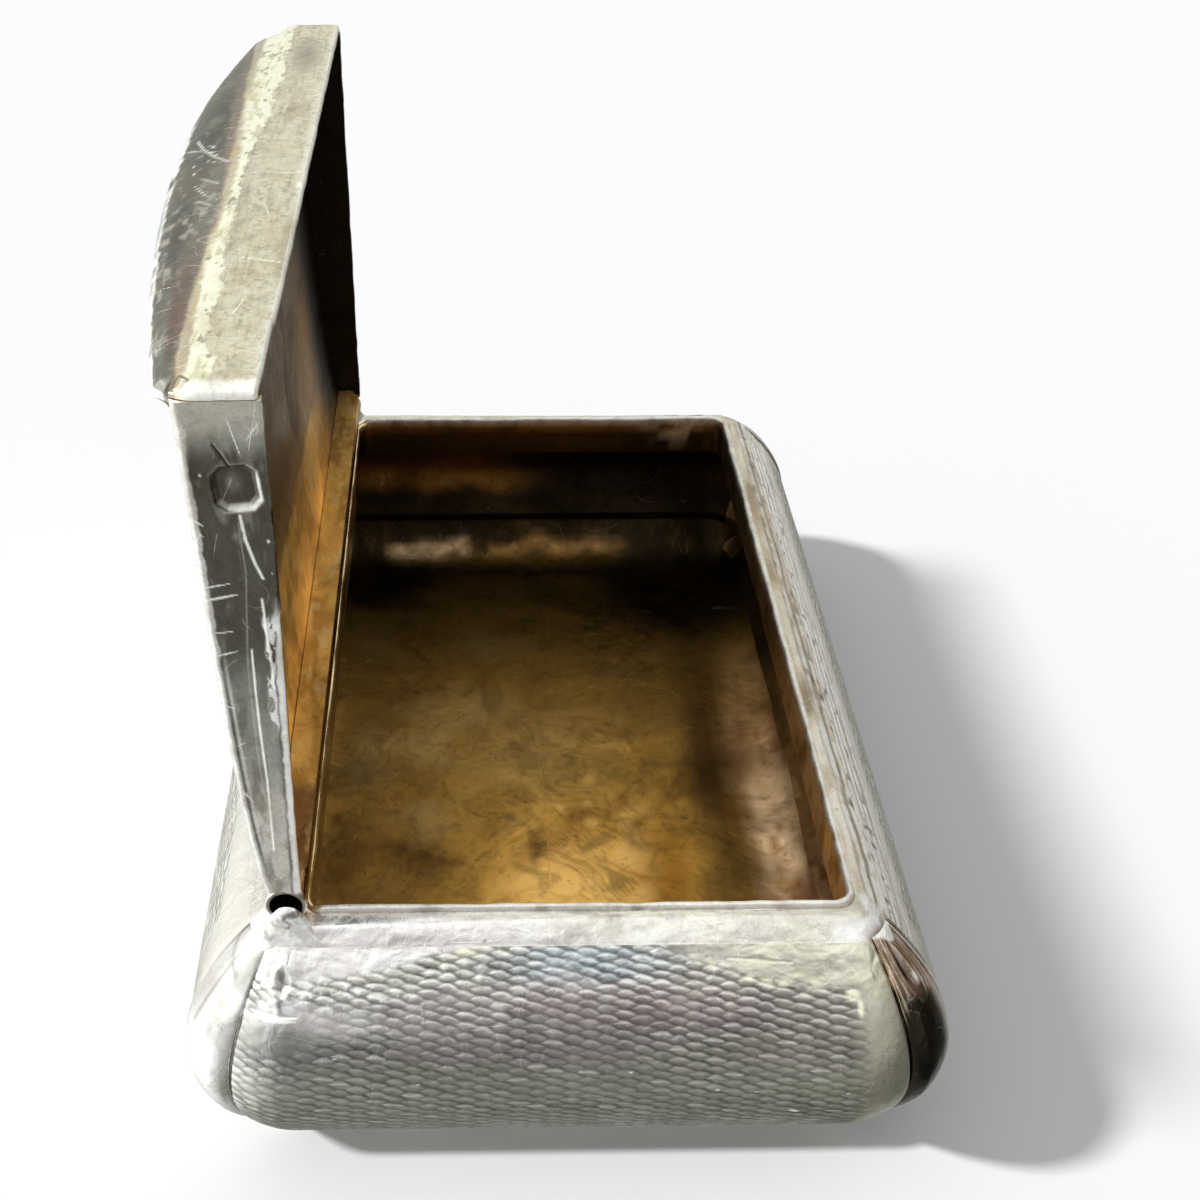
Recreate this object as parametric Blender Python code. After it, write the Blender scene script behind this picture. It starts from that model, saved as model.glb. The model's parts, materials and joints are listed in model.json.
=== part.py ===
"""Hinged rectangular silver snuff box, lid standing open.

Metres, +Z up.  +Y runs along the length of the box, the hinge lies along the
long side at -X, and the origin is at the middle of the flat underside.
The walls of the base are cushion shaped: they swell outwards between a flat
bottom and a flat mouth.  The lid is a shallow tray that turns on a tube hinge.
"""
import math

import bmesh
import bpy
from mathutils import Matrix, Vector

for ob in list(bpy.data.objects):
    bpy.data.objects.remove(ob, do_unlink=True)

MM = 0.001

# ----------------------------------------------------------------- dimensions
H = 17.5                 # underside to the mouth of the base
GAP = 0.10               # soldered seams
PLATE_T = 0.9            # bottom plate
WALL_T = 0.8             # swelling walls
LEDGE_T = 0.8            # flat frame round the mouth

RIM_XL, RIM_XR = -19.8, 18.5     # outline of the mouth, hinge side and front side
RIM_Y = 31.0                     # outline of the mouth, each end
RIM_R = 2.6                      # corner radius of that outline
BULGE_X, BULGE_Y = 4.2, 5.0      # how far the walls swell past it
BULGE_POWER = 1.9
FOOT_IN = 0.15                   # the foot lies this far inside the mouth outline

MOUTH_X = 16.2                   # half width of the clear opening
MOUTH_Y = 28.7                   # half length of the clear opening
BEZEL_T = 0.45                   # thin strip that lines the mouth
BEZEL_UP = 0.35                  # it stands this far above the ledge
BEZEL_DOWN = 3.2                 # and reaches this far below it
BEZEL_R = 0.7

SEAM_ANGLE = 30.0                # the end panels turn this far round each corner
LOBE_END = 76.0                  # the corner lobes end here
LOBE_RISE = 0.45                 # height of a corner lobe
LOBE_HOLLOW = 0.35               # flute along its seam

AXIS_X, AXIS_Z = -17.4, H + 1.35  # hinge axis, parallel to Y
TUBE_R, TUBE_BORE = 1.25, 0.98
PIN_R = 0.90
PIN_HALF = 26.4
KNUCKLE_CLEAR = 0.15
KNUCKLES = (-29.85, -19.0, -6.6, 6.6, 19.0, 29.85)   # ends of the five knuckles

LID_FRONT = 17.4                 # outer face of the lid's front wall, lid shut
LID_HALF = 29.85                 # outer faces of the lid's end walls
LID_BACK = AXIS_X + TUBE_R + 0.10
LID_WALL_T = 0.65
LID_TOP_T = 0.65
LID_CORNER = 1.3
LID_DOME = 0.55                  # swell of the cover between its ends
LID_OPEN = 90.5                  # degrees from shut, as the lid stands here

THUMB_HALF = 28.3                # half length of the crescent thumbpiece
THUMB_PEAK = 7.0                 # its crest lies a little past the middle
THUMB_RISE = 4.9                 # height of the crest above the cover
THUMB_NEAR, THUMB_FAR = 1.1, 2.4 # and of its two ends
THUMB_DEPTH = 4.2


def lid_top(x):
    """Height of the cover's outer face over the mouth, lid shut, along its ends."""
    d = max(0.0, x - AXIS_X)
    return 2.30 + 1.0 * (1.0 - math.exp(-d / 6.0)) + 1.40 * d / 35.0


# -------------------------------------------------------------------- helpers
def material(name, colour, metallic, roughness):
    mat = bpy.data.materials.new(name)
    mat.use_nodes = True
    bsdf = mat.node_tree.nodes["Principled BSDF"]
    bsdf.inputs["Base Color"].default_value = (*colour, 1.0)
    bsdf.inputs["Metallic"].default_value = metallic
    bsdf.inputs["Roughness"].default_value = roughness
    return mat


SILVER = material("silver", (0.80, 0.79, 0.75), 1.0, 0.28)
SILVER_TURNED = material("silver_engine_turned", (0.62, 0.62, 0.60), 1.0, 0.38)
GILT = material("silver_gilt", (0.55, 0.36, 0.13), 1.0, 0.42)


def add(name, bm, mat, smooth=True, parent=None, away=None):
    """Make an object; away is a point that an open sheet's outer face looks away from."""
    me = bpy.data.meshes.new(name)
    if away is None:
        bmesh.ops.recalc_face_normals(bm, faces=bm.faces)
    else:
        bm.normal_update()
        ref = Vector(away) * MM
        side = sum(f.normal.dot(f.calc_center_median() - ref) * f.calc_area() for f in bm.faces)
        if side < 0:
            bmesh.ops.reverse_faces(bm, faces=bm.faces)
    bm.to_mesh(me)
    bm.free()
    me.materials.append(mat)
    ob = bpy.data.objects.new(name, me)
    bpy.context.scene.collection.objects.link(ob)
    if smooth:
        me.shade_smooth()
        me.set_sharp_from_angle(angle=math.radians(35))
    if parent is not None:
        ob.parent = parent
    return ob


def bevel(ob, width, segments=2, angle=40):
    mod = ob.modifiers.new("edge", "BEVEL")
    mod.width = width * MM
    mod.segments = segments
    mod.limit_method = "ANGLE"
    mod.angle_limit = math.radians(angle)
    return mod


def solidify(ob, thickness, offset=-1.0):
    mod = ob.modifiers.new("sheet", "SOLIDIFY")
    mod.thickness = thickness * MM
    mod.offset = offset
    mod.use_even_offset = True
    return mod


def corner_outline(x0, x1, y0, y1, r, steps=6):
    """A rounded rectangle, counter-clockwise, as (x, y) points."""
    pts = []
    for cx, cy, start in ((x1 - r, y0 + r, -90), (x1 - r, y1 - r, 0),
                          (x0 + r, y1 - r, 90), (x0 + r, y0 + r, 180)):
        for k in range(steps + 1):
            a = math.radians(start + 90.0 * k / steps)
            pts.append((cx + r * math.cos(a), cy + r * math.sin(a)))
    return pts


def slab(outline, z0, z1):
    """An upright prism over an outline."""
    bm = bmesh.new()
    low = [bm.verts.new((x * MM, y * MM, z0 * MM)) for x, y in outline]
    face = bm.faces.new(low)
    out = bmesh.ops.extrude_face_region(bm, geom=[face])
    up = [v for v in out["geom"] if isinstance(v, bmesh.types.BMVert)]
    bmesh.ops.translate(bm, verts=up, vec=(0, 0, (z1 - z0) * MM))
    return bm


def frame_ring(outer, inner, low, high):
    """A closed ring between two outlines of equal length; low and high are
    functions of (x, y) that give its under and upper face."""
    bm = bmesh.new()
    loops = []
    for outline, level in ((outer, low), (outer, high), (inner, high), (inner, low)):
        loops.append([bm.verts.new((x * MM, y * MM, level(x, y) * MM)) for x, y in outline])
    n = len(outer)
    for a, b in zip(loops, loops[1:] + loops[:1]):
        for i in range(n):
            j = (i + 1) % n
            bm.faces.new((a[i], a[j], b[j], b[i]))
    return bm


def sheet(rows):
    """An open sheet through a grid of points."""
    bm = bmesh.new()
    verts = [[bm.verts.new(Vector(p) * MM) for p in row] for row in rows]
    for a, b in zip(verts, verts[1:]):
        for i in range(len(a) - 1):
            bm.faces.new((a[i], a[i + 1], b[i + 1], b[i]))
    return bm


# ------------------------------------------------------- the swelling side wall
WALL_Z0 = PLATE_T + GAP
WALL_Z1 = H - LEDGE_T - GAP


def swell(t):
    return 1.0 - abs(2.0 * t - 1.0) ** BULGE_POWER


def corner_centres():
    return {
        "nf": (RIM_XR - RIM_R, -RIM_Y + RIM_R, -90.0),
        "ff": (RIM_XR - RIM_R, RIM_Y - RIM_R, 0.0),
        "fb": (RIM_XL + RIM_R, RIM_Y - RIM_R, 90.0),
        "nb": (RIM_XL + RIM_R, -RIM_Y + RIM_R, 180.0),
    }


def wall_point(cx, cy, angle, z, along=0.0, rise=0.0):
    """A point of the outer skin: the outline's point whose normal has this angle,
    pushed out by the swell of the wall at height z."""
    t = (z - WALL_Z0) / (WALL_Z1 - WALL_Z0)
    nx, ny = math.cos(math.radians(angle)), math.sin(math.radians(angle))
    push = BULGE_X * nx * nx + BULGE_Y * ny * ny
    off = swell(t) * (push + FOOT_IN * (1.0 if t < 0.5 else 0.0))
    if t < 0.5:
        off -= FOOT_IN
    r = RIM_R + off + rise
    return (cx + r * nx - along * ny, cy + r * ny + along * nx, z)


LEVELS = 18


def heights():
    return [WALL_Z0 + (WALL_Z1 - WALL_Z0) * (0.5 - 0.5 * math.cos(math.pi * k / LEVELS))
            for k in range(LEVELS + 1)]


def end_panel(name, sign):
    """An end of the box: a straight run with a turn into the corner each side."""
    cc = corner_centres()
    left, right = (cc["nb"], cc["nf"]) if sign < 0 else (cc["ff"], cc["fb"])
    base = -90.0 if sign < 0 else 90.0
    rows = []
    for z in heights():
        row = []
        for k in range(6):
            a = base - SEAM_ANGLE * (1.0 - k / 5.0)
            row.append(wall_point(left[0], left[1], a, z))
        for k in range(1, 8):
            f = k / 8.0
            cx = left[0] + (right[0] - left[0]) * f
            row.append(wall_point(cx, left[1], base, z))
        for k in range(6):
            a = base + SEAM_ANGLE * k / 5.0
            row.append(wall_point(right[0], right[1], a, z))
        rows.append(row)
    ob = add(name, sheet(rows), SILVER_TURNED, away=(0, 0, H / 2))
    solidify(ob, WALL_T)
    return ob


def side_panel(name, sign):
    """A long side of the box, between two corner lobes."""
    cc = corner_centres()
    low, high = (cc["nf"], cc["ff"]) if sign > 0 else (cc["fb"], cc["nb"])
    base = 0.0 if sign > 0 else 180.0
    turn = 90.0 - LOBE_END - 1.2     # the side turns this far into its corners
    rows = []
    for z in heights():
        row = []
        for k in range(3):
            row.append(wall_point(low[0], low[1], base - turn * (1.0 - k / 2.0), z))
        for k in range(1, 14):
            f = k / 14.0
            row.append(wall_point(low[0], low[1] + (high[1] - low[1]) * f, base, z))
        for k in range(3):
            row.append(wall_point(high[0], high[1], base + turn * k / 2.0, z))
        rows.append(row)
    ob = add(name, sheet(rows), SILVER_TURNED, away=(0, 0, H / 2))
    solidify(ob, WALL_T)
    return ob


def corner_lobe(name, key, end_first):
    """An upright lobe between an end panel and a side panel."""
    cx, cy, start = corner_centres()[key]
    lo, hi = SEAM_ANGLE + 1.2, LOBE_END
    rows = []
    for z in heights():
        t = (z - WALL_Z0) / (WALL_Z1 - WALL_Z0)
        row = []
        for k in range(9):
            f = k / 8.0
            a = lo + (hi - lo) * f
            ang = start + (a if end_first else 90.0 - a)
            body = math.sin(math.pi * f) * swell(t)
            flute = max(0.0, 1.0 - f * 4.0) * swell(t)
            row.append(wall_point(cx, cy, ang, z, rise=LOBE_RISE * body - LOBE_HOLLOW * flute))
        rows.append(row)
    ob = add(name, sheet(rows), SILVER, away=(0, 0, H / 2))
    solidify(ob, WALL_T)
    return ob


end_panel("base_near_end_panel", -1)
end_panel("base_far_end_panel", 1)
side_panel("base_front_panel", 1)
side_panel("base_hinge_side_panel", -1)
corner_lobe("corner_lobe_near_front", "nf", True)
corner_lobe("corner_lobe_far_front", "ff", False)
corner_lobe("corner_lobe_far_hinge", "fb", True)
corner_lobe("corner_lobe_near_hinge", "nb", False)

# ------------------------------------------------------------ bottom and mouth
foot = corner_outline(RIM_XL + FOOT_IN, RIM_XR - FOOT_IN, -RIM_Y + FOOT_IN, RIM_Y - FOOT_IN,
                      RIM_R - FOOT_IN, 5)
bottom = add("base_bottom_plate", slab(foot, 0.0, PLATE_T), SILVER)
bevel(bottom, 0.25)

lip_x, lip_y, lip_r = MOUTH_X + BEZEL_T, MOUTH_Y + BEZEL_T, BEZEL_R + BEZEL_T
ledge_out = corner_outline(RIM_XL, RIM_XR, -RIM_Y, RIM_Y, RIM_R, 5)
ledge_in = corner_outline(-lip_x - 0.05, lip_x + 0.05, -lip_y - 0.05, lip_y + 0.05, lip_r, 5)
ledge = add("mouth_ledge", frame_ring(ledge_out, ledge_in, lambda x, y: H - LEDGE_T,
                                      lambda x, y: H), SILVER)
bevel(ledge, 0.3, 2)

bezel_out = corner_outline(-lip_x, lip_x, -lip_y, lip_y, lip_r, 5)
bezel_in = corner_outline(-MOUTH_X, MOUTH_X, -MOUTH_Y, MOUTH_Y, BEZEL_R, 5)


def bezel_high(x, y):
    return H + (BEZEL_UP if x > -MOUTH_X + BEZEL_R + 0.01 else 0.0)


add("mouth_bezel", frame_ring(bezel_out, bezel_in, lambda x, y: H - BEZEL_DOWN, bezel_high), GILT)

# ---------------------------------------------------------------------- hinge
SIDES = 20


def tube(name, y0, y1, parent=None):
    """A knuckle: a length of tube on the hinge axis."""
    bm = bmesh.new()
    loops = []
    for r, y in ((TUBE_BORE, y0), (TUBE_R, y0), (TUBE_R, y1), (TUBE_BORE, y1)):
        loops.append([bm.verts.new((r * math.sin(2 * math.pi * k / SIDES) * MM, y * MM,
                                    r * math.cos(2 * math.pi * k / SIDES) * MM))
                      for k in range(SIDES)])
    for a, b in zip(loops, loops[1:] + loops[:1]):
        for i in range(SIDES):
            j = (i + 1) % SIDES
            bm.faces.new((a[i], a[j], b[j], b[i]))
    ob = add(name, bm, SILVER, parent=parent)
    if parent is None:
        ob.location = (AXIS_X * MM, 0, AXIS_Z * MM)
    return ob


lid_axis = bpy.data.objects.new("lid_axis", None)
lid_axis.location = (AXIS_X * MM, 0, AXIS_Z * MM)
lid_axis.rotation_euler = (0, -math.radians(LID_OPEN), 0)
bpy.context.scene.collection.objects.link(lid_axis)

half = KNUCKLE_CLEAR / 2
tube("lid_knuckle_near", KNUCKLES[0], KNUCKLES[1] - half, lid_axis)
tube("base_knuckle_near", KNUCKLES[1] + half, KNUCKLES[2] - half)
tube("lid_knuckle_middle", KNUCKLES[2] + half, KNUCKLES[3] - half, lid_axis)
tube("base_knuckle_far", KNUCKLES[3] + half, KNUCKLES[4] - half)
tube("lid_knuckle_far", KNUCKLES[4] + half, KNUCKLES[5], lid_axis)

bm = bmesh.new()
bmesh.ops.create_cone(bm, cap_ends=True, segments=16, radius1=PIN_R * MM, radius2=PIN_R * MM,
                      depth=2 * PIN_HALF * MM, matrix=Matrix.Rotation(math.radians(90), 4, "X"))
pin = add("hinge_pin", bm, SILVER)
pin.location = (AXIS_X * MM, 0, AXIS_Z * MM)

# Cheeks of the base that close the lower half of the tube's open ends and run
# down to the edge of the mouth.
CHEEK_R = TUBE_R + 0.15
for tag, sign in (("near", -1), ("far", 1)):
    y0, y1 = LID_HALF + 0.15, RIM_Y - 0.15
    floor = H + 0.08
    bm = bmesh.new()
    rings = []
    for s in range(6):
        f = s / 5.0
        tall = 0.12 + (AXIS_Z - 0.10 - floor - 0.12) * math.cos(f * math.pi / 2)
        ring = [((AXIS_X - CHEEK_R) * MM, sign * (y0 + (y1 - y0) * f) * MM, floor * MM)]
        for k in range(11):
            a = math.pi * (1.0 - k / 10.0)
            ring.append(((AXIS_X + CHEEK_R * math.cos(a)) * MM, sign * (y0 + (y1 - y0) * f) * MM,
                         (floor + 0.05 + tall * math.sin(a) ** 0.6) * MM))
        ring.append(((AXIS_X + CHEEK_R) * MM, sign * (y0 + (y1 - y0) * f) * MM, floor * MM))
        rings.append([bm.verts.new(p) for p in ring])
    n = len(rings[0])
    for a, b in zip(rings, rings[1:]):
        for i in range(n):
            j = (i + 1) % n
            bm.faces.new((a[i], a[j], b[j], b[i]))
    bm.faces.new(rings[0])
    bm.faces.new(rings[-1])
    add("hinge_cheek_" + tag, bm, SILVER)

# ------------------------------------------------------------------------ lid
# Made as it lies when shut, in coordinates from the hinge axis.


def lid_xyz(x, y, z):
    """Shut position over the mouth to the axis frame."""
    return (x - AXIS_X, y, z - AXIS_Z)


def cover(x, y):
    """Outer face of the cover, lid shut."""
    u = (x - LID_BACK) / (LID_FRONT - LID_BACK)
    v = y / LID_HALF
    dome = LID_DOME * (1.0 - v * v) * math.sin(math.pi * min(1.0, max(0.0, u)) ** 1.1)
    return H + lid_top(x) + dome


def cover_outline():
    """The cover's plan: square at the hinge, rounded at the front corners."""
    pts = [(LID_BACK, LID_HALF), (LID_BACK, -LID_HALF)]
    r = LID_CORNER
    for cy, start in ((-LID_HALF + r, -90), (LID_HALF - r, 0)):
        for k in range(7):
            a = math.radians(start + 15 * k)
            pts.append((LID_FRONT - r + r * math.cos(a), cy + r * math.sin(a)))
    return pts


def cover_half(x):
    """Half length of the cover at x."""
    r = LID_CORNER
    d = x - (LID_FRONT - r)
    if d <= 0:
        return LID_HALF
    return LID_HALF - r + math.sqrt(max(0.0, r * r - d * d))


NX, NY = 22, 26
xs = [LID_BACK + (LID_FRONT - LID_CORNER - LID_BACK) * i / (NX - 6) for i in range(NX - 5)]
xs += [LID_FRONT - LID_CORNER + LID_CORNER * math.sin(math.radians(18 * k)) for k in range(1, 6)]
rows = []
for x in xs:
    h = cover_half(x)
    row = []
    for j in range(NY + 1):
        y = -h + 2 * h * j / NY
        row.append(lid_xyz(x, y, cover(x, y)))
    rows.append(row)
top = add("lid_cover", sheet(rows), SILVER_TURNED, parent=lid_axis, away=(17, 0, -200))
solidify(top, LID_TOP_T)

UNDER = LID_TOP_T + 0.10         # the walls stop this far below the cover's outer face
LOW = H + 0.12                   # lid walls end this far above the ledge


def lid_wall(name, path, mat=SILVER):
    """An upright strip under the cover that follows a path in plan."""
    rows = []
    for k in range(5):
        f = k / 4.0
        row = []
        for x, y in path:
            z1 = cover(x, y) - UNDER
            row.append(lid_xyz(x, y, LOW + (z1 - LOW) * f))
        rows.append(row)
    return add(name, sheet(rows), mat, parent=lid_axis, away=lid_xyz(0, 0, H + 2))


r = LID_CORNER
front_path = []
for k in range(7):
    a = math.radians(-90 + 15 * k)
    front_path.append((LID_FRONT - r + r * math.cos(a), -LID_HALF + r + r * math.sin(a)))
for k in range(1, 24):
    front_path.append((LID_FRONT, -LID_HALF + r + (2 * LID_HALF - 2 * r) * k / 24))
for k in range(7):
    a = math.radians(15 * k)
    front_path.append((LID_FRONT - r + r * math.cos(a), LID_HALF - r + r * math.sin(a)))
front = lid_wall("lid_front_wall", front_path)
solidify(front, LID_WALL_T)

end_x0, end_x1 = LID_BACK, LID_FRONT - r - 0.10
for tag, sign in (("near", -1), ("far", 1)):
    path = [(end_x0 + (end_x1 - end_x0) * k / 18.0, sign * LID_HALF) for k in range(19)]
    if sign > 0:
        path.reverse()
    wall = lid_wall("lid_%s_end_wall" % tag, path)
    solidify(wall, LID_WALL_T)

rail_y = LID_HALF - LID_WALL_T - 0.12
rail_path = [(LID_BACK, rail_y - 2 * rail_y * k / 12.0) for k in range(13)]
rail = lid_wall("lid_hinge_rail", rail_path, GILT)
solidify(rail, 0.5)

# Crescent thumbpiece along the front edge of the cover.
TN = 40
SECTION = 12


def thumb_height(y):
    if y < THUMB_PEAK:
        v, end = (THUMB_PEAK - y) / (THUMB_PEAK + THUMB_HALF), THUMB_NEAR
    else:
        v, end = (y - THUMB_PEAK) / (THUMB_HALF - THUMB_PEAK), THUMB_FAR
    return end + (THUMB_RISE - end) * (1.0 - v * v)


bm = bmesh.new()
rings = []
for i in range(TN + 1):
    y = -THUMB_HALF + 2 * THUMB_HALF * i / TN
    h = thumb_height(y)
    depth = THUMB_DEPTH * (0.55 + 0.45 * h / THUMB_RISE)
    x1 = LID_FRONT - 0.12
    x0 = x1 - depth
    ring = []
    for k in range(SECTION + 1):
        # convex front, hollow back: from the front edge over the crest to the back
        f = k / SECTION
        if f < 0.55:
            g = f / 0.55
            x = x1 - 0.36 * depth * (1 - math.cos(g * math.pi / 2))
            z = h * math.sin(g * math.pi / 2)
        else:
            g = (f - 0.55) / 0.45
            x = x1 - depth * (0.36 + 0.64 * g)
            z = h * (1 - g) ** 1.7
        ring.append((x, y, cover(x, y) + 0.06 + z))
    for k in range(1, 4):
        x = x0 + (x1 - x0) * k / 4.0
        ring.append((x, y, cover(x, y) + 0.06))
    rings.append([bm.verts.new(Vector(lid_xyz(*p)) * MM) for p in ring])
m = len(rings[0])
for a, b in zip(rings, rings[1:]):
    for i in range(m):
        j = (i + 1) % m
        bm.faces.new((a[i], a[j], b[j], b[i]))
bm.faces.new(rings[0])
bm.faces.new(rings[-1])
add("lid_thumbpiece", bm, SILVER, parent=lid_axis)
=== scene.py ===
import json
import math

import bpy
import numpy as np
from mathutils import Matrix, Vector

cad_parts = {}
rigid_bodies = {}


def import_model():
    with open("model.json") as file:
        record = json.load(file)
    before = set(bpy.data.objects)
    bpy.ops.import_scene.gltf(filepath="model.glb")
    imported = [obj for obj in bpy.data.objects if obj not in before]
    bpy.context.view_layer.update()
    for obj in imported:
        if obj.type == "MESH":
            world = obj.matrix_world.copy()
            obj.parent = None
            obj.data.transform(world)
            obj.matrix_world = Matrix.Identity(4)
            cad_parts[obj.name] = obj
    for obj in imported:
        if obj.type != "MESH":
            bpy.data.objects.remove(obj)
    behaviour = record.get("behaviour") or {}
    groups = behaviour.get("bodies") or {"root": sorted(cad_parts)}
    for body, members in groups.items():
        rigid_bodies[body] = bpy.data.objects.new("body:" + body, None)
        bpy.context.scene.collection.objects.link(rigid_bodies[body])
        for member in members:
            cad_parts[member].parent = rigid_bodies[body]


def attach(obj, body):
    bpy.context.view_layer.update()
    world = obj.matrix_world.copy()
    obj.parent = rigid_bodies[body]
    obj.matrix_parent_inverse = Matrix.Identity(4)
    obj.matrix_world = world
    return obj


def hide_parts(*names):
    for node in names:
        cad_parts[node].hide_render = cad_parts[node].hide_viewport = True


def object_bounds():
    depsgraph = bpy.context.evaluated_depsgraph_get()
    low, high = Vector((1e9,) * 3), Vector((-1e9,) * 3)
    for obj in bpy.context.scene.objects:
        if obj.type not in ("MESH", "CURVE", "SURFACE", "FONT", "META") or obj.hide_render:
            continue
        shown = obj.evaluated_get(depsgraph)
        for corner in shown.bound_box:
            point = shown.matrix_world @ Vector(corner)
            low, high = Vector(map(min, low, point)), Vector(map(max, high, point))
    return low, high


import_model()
CAD_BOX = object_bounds()

MM = 0.001

# ------------------------------------------------------------------ dimensions
# The same driving sizes as the CAD part, in millimetres.
H = 17.5
RIM_XL, RIM_XR, RIM_Y, RIM_R = -19.8, 18.5, 31.0, 2.6
BULGE_X, BULGE_Y, POWER, FOOT = 4.2, 5.0, 1.9, 0.15
WALL_Z0, WALL_Z1, WALL_T = 1.0, 16.6, 0.8
MOUTH_X, MOUTH_Y = 16.2, 28.7
AX, AZ = -17.4, H + 1.35
LID_FRONT, LID_HALF, LID_BACK = 17.4, 29.85, -17.4 + 1.35
OPEN = math.radians(90.5)
TUBE_R = 1.25
KNUCKLES = (-29.85, -19.0, -6.6, 6.6, 19.0, 29.85)


# ----------------------------------------------------------------------- noise
def _hash(ix, iy, seed):
    h = (ix.astype(np.int64) * 374761393 + iy.astype(np.int64) * 668265263
         + seed * 1274126177 + 1013904223) & 0xFFFFFFFF
    h = ((h ^ (h >> 13)) * 1274126177) & 0xFFFFFFFF
    h = ((h ^ (h >> 15)) * 2246822519) & 0xFFFFFFFF
    return ((h ^ (h >> 16)) & 0xFFFFFF) / float(0xFFFFFF)


def vnoise(x, y, seed=0):
    """Smooth noise from -1 to 1."""
    x, y = np.broadcast_arrays(np.asarray(x, float), np.asarray(y, float))
    xi, yi = np.floor(x), np.floor(y)
    fx, fy = x - xi, y - yi
    fx, fy = fx * fx * (3 - 2 * fx), fy * fy * (3 - 2 * fy)
    a, b = _hash(xi, yi, seed), _hash(xi + 1, yi, seed)
    c, d = _hash(xi, yi + 1, seed), _hash(xi + 1, yi + 1, seed)
    return 2 * ((a * (1 - fx) + b * fx) * (1 - fy) + (c * (1 - fx) + d * fx) * fy) - 1


def fbm(x, y, seed=0, octaves=4):
    out, amp, tot = 0.0, 1.0, 0.0
    for k in range(octaves):
        out = out + amp * vnoise(x * 2 ** k, y * 2 ** k, seed + 17 * k)
        tot += amp
        amp *= 0.5
    return out / tot


def step(a, b, x):
    t = np.clip((x - a) / (b - a), 0, 1)
    return t * t * (3 - 2 * t)


def blob(x, y, cx, cy, rx, ry, soft=0.5):
    d = np.sqrt(((x - cx) / rx) ** 2 + ((y - cy) / ry) ** 2)
    return 1 - step(1 - soft, 1 + soft * 0.2, d)


def stroke(x, y, x0, y0, x1, y1, w):
    """1 along a line from one point to another, falling off over the width w."""
    dx, dy = x1 - x0, y1 - y0
    t = np.clip(((x - x0) * dx + (y - y0) * dy) / (dx * dx + dy * dy), 0, 1)
    d = np.hypot(x - x0 - t * dx, y - y0 - t * dy)
    taper = w * (0.35 + 0.65 * np.sin(math.pi * np.clip(t, 0.02, 0.98)))
    return np.clip(1 - d / taper, 0, 1)


def polyline(x, y, pts, w):
    out = np.zeros(np.broadcast(x, y).shape)
    for (x0, y0), (x1, y1) in zip(pts, pts[1:]):
        dx, dy = x1 - x0, y1 - y0
        t = np.clip(((x - x0) * dx + (y - y0) * dy) / (dx * dx + dy * dy), 0, 1)
        out = np.maximum(out, np.clip(1 - np.hypot(x - x0 - t * dx, y - y0 - t * dy) / w, 0, 1))
    return out


def lerp(a, b, m):
    """Paints colour b over a by the mask m. A fourth value of b is its frosting."""
    a, b = np.array(a, float), np.asarray(b, float)
    k = b.shape[-1]
    m = np.clip(m, 0, 1)[..., None]
    a[..., :k] = a[..., :k] * (1 - m) + b * m
    return a


def shade(a, factor):
    a = np.array(a, float)
    a[..., :3] = np.clip(a[..., :3] * factor[..., None], 0, 1)
    return a


def flat_tint(shape, colour, frost=0.0):
    return np.ones(tuple(shape) + (4,)) * np.array([*colour, frost][:4], float)


# ---------------------------------------------------------------------- meshes
def normals(P):
    """Unit normals of a grid of points."""
    n = np.cross(np.gradient(P, axis=1), np.gradient(P, axis=0))
    return n / np.maximum(np.linalg.norm(n, axis=-1, keepdims=True), 1e-12)


def finish_mesh(name, verts, faces, mats, index, tint, rough, body, stands_for,
                angle=38):
    me = bpy.data.meshes.new(name)
    verts = np.clip(np.asarray(verts, float) * MM, np.array(CAD_BOX[0]) + 1e-6, np.array(CAD_BOX[1]) - 1e-6)
    me.from_pydata(verts.tolist(), [], faces)
    for m in mats:
        me.materials.append(m)
    if index is not None:
        me.polygons.foreach_set("material_index", np.asarray(index, np.int32))
    colour = me.attributes.new("tint", "FLOAT_COLOR", "POINT")
    rgba = np.ones((len(verts), 4), np.float32)
    rgba[:, :3] = tint[:, :3]
    rgba[:, 3] = 1.0 - tint[:, 3]
    colour.data.foreach_set("color", rgba.ravel())
    wear = me.attributes.new("polish", "FLOAT", "POINT")
    wear.data.foreach_set("value", np.broadcast_to(rough, len(verts)).astype(np.float32))
    me.update()
    me.shade_smooth()
    me.set_sharp_from_angle(angle=math.radians(angle))
    ob = bpy.data.objects.new(name, me)
    bpy.context.scene.collection.objects.link(ob)
    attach(ob, body)
    if stands_for:
        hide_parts(*([stands_for] if isinstance(stands_for, str) else stands_for))
    return ob


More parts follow.
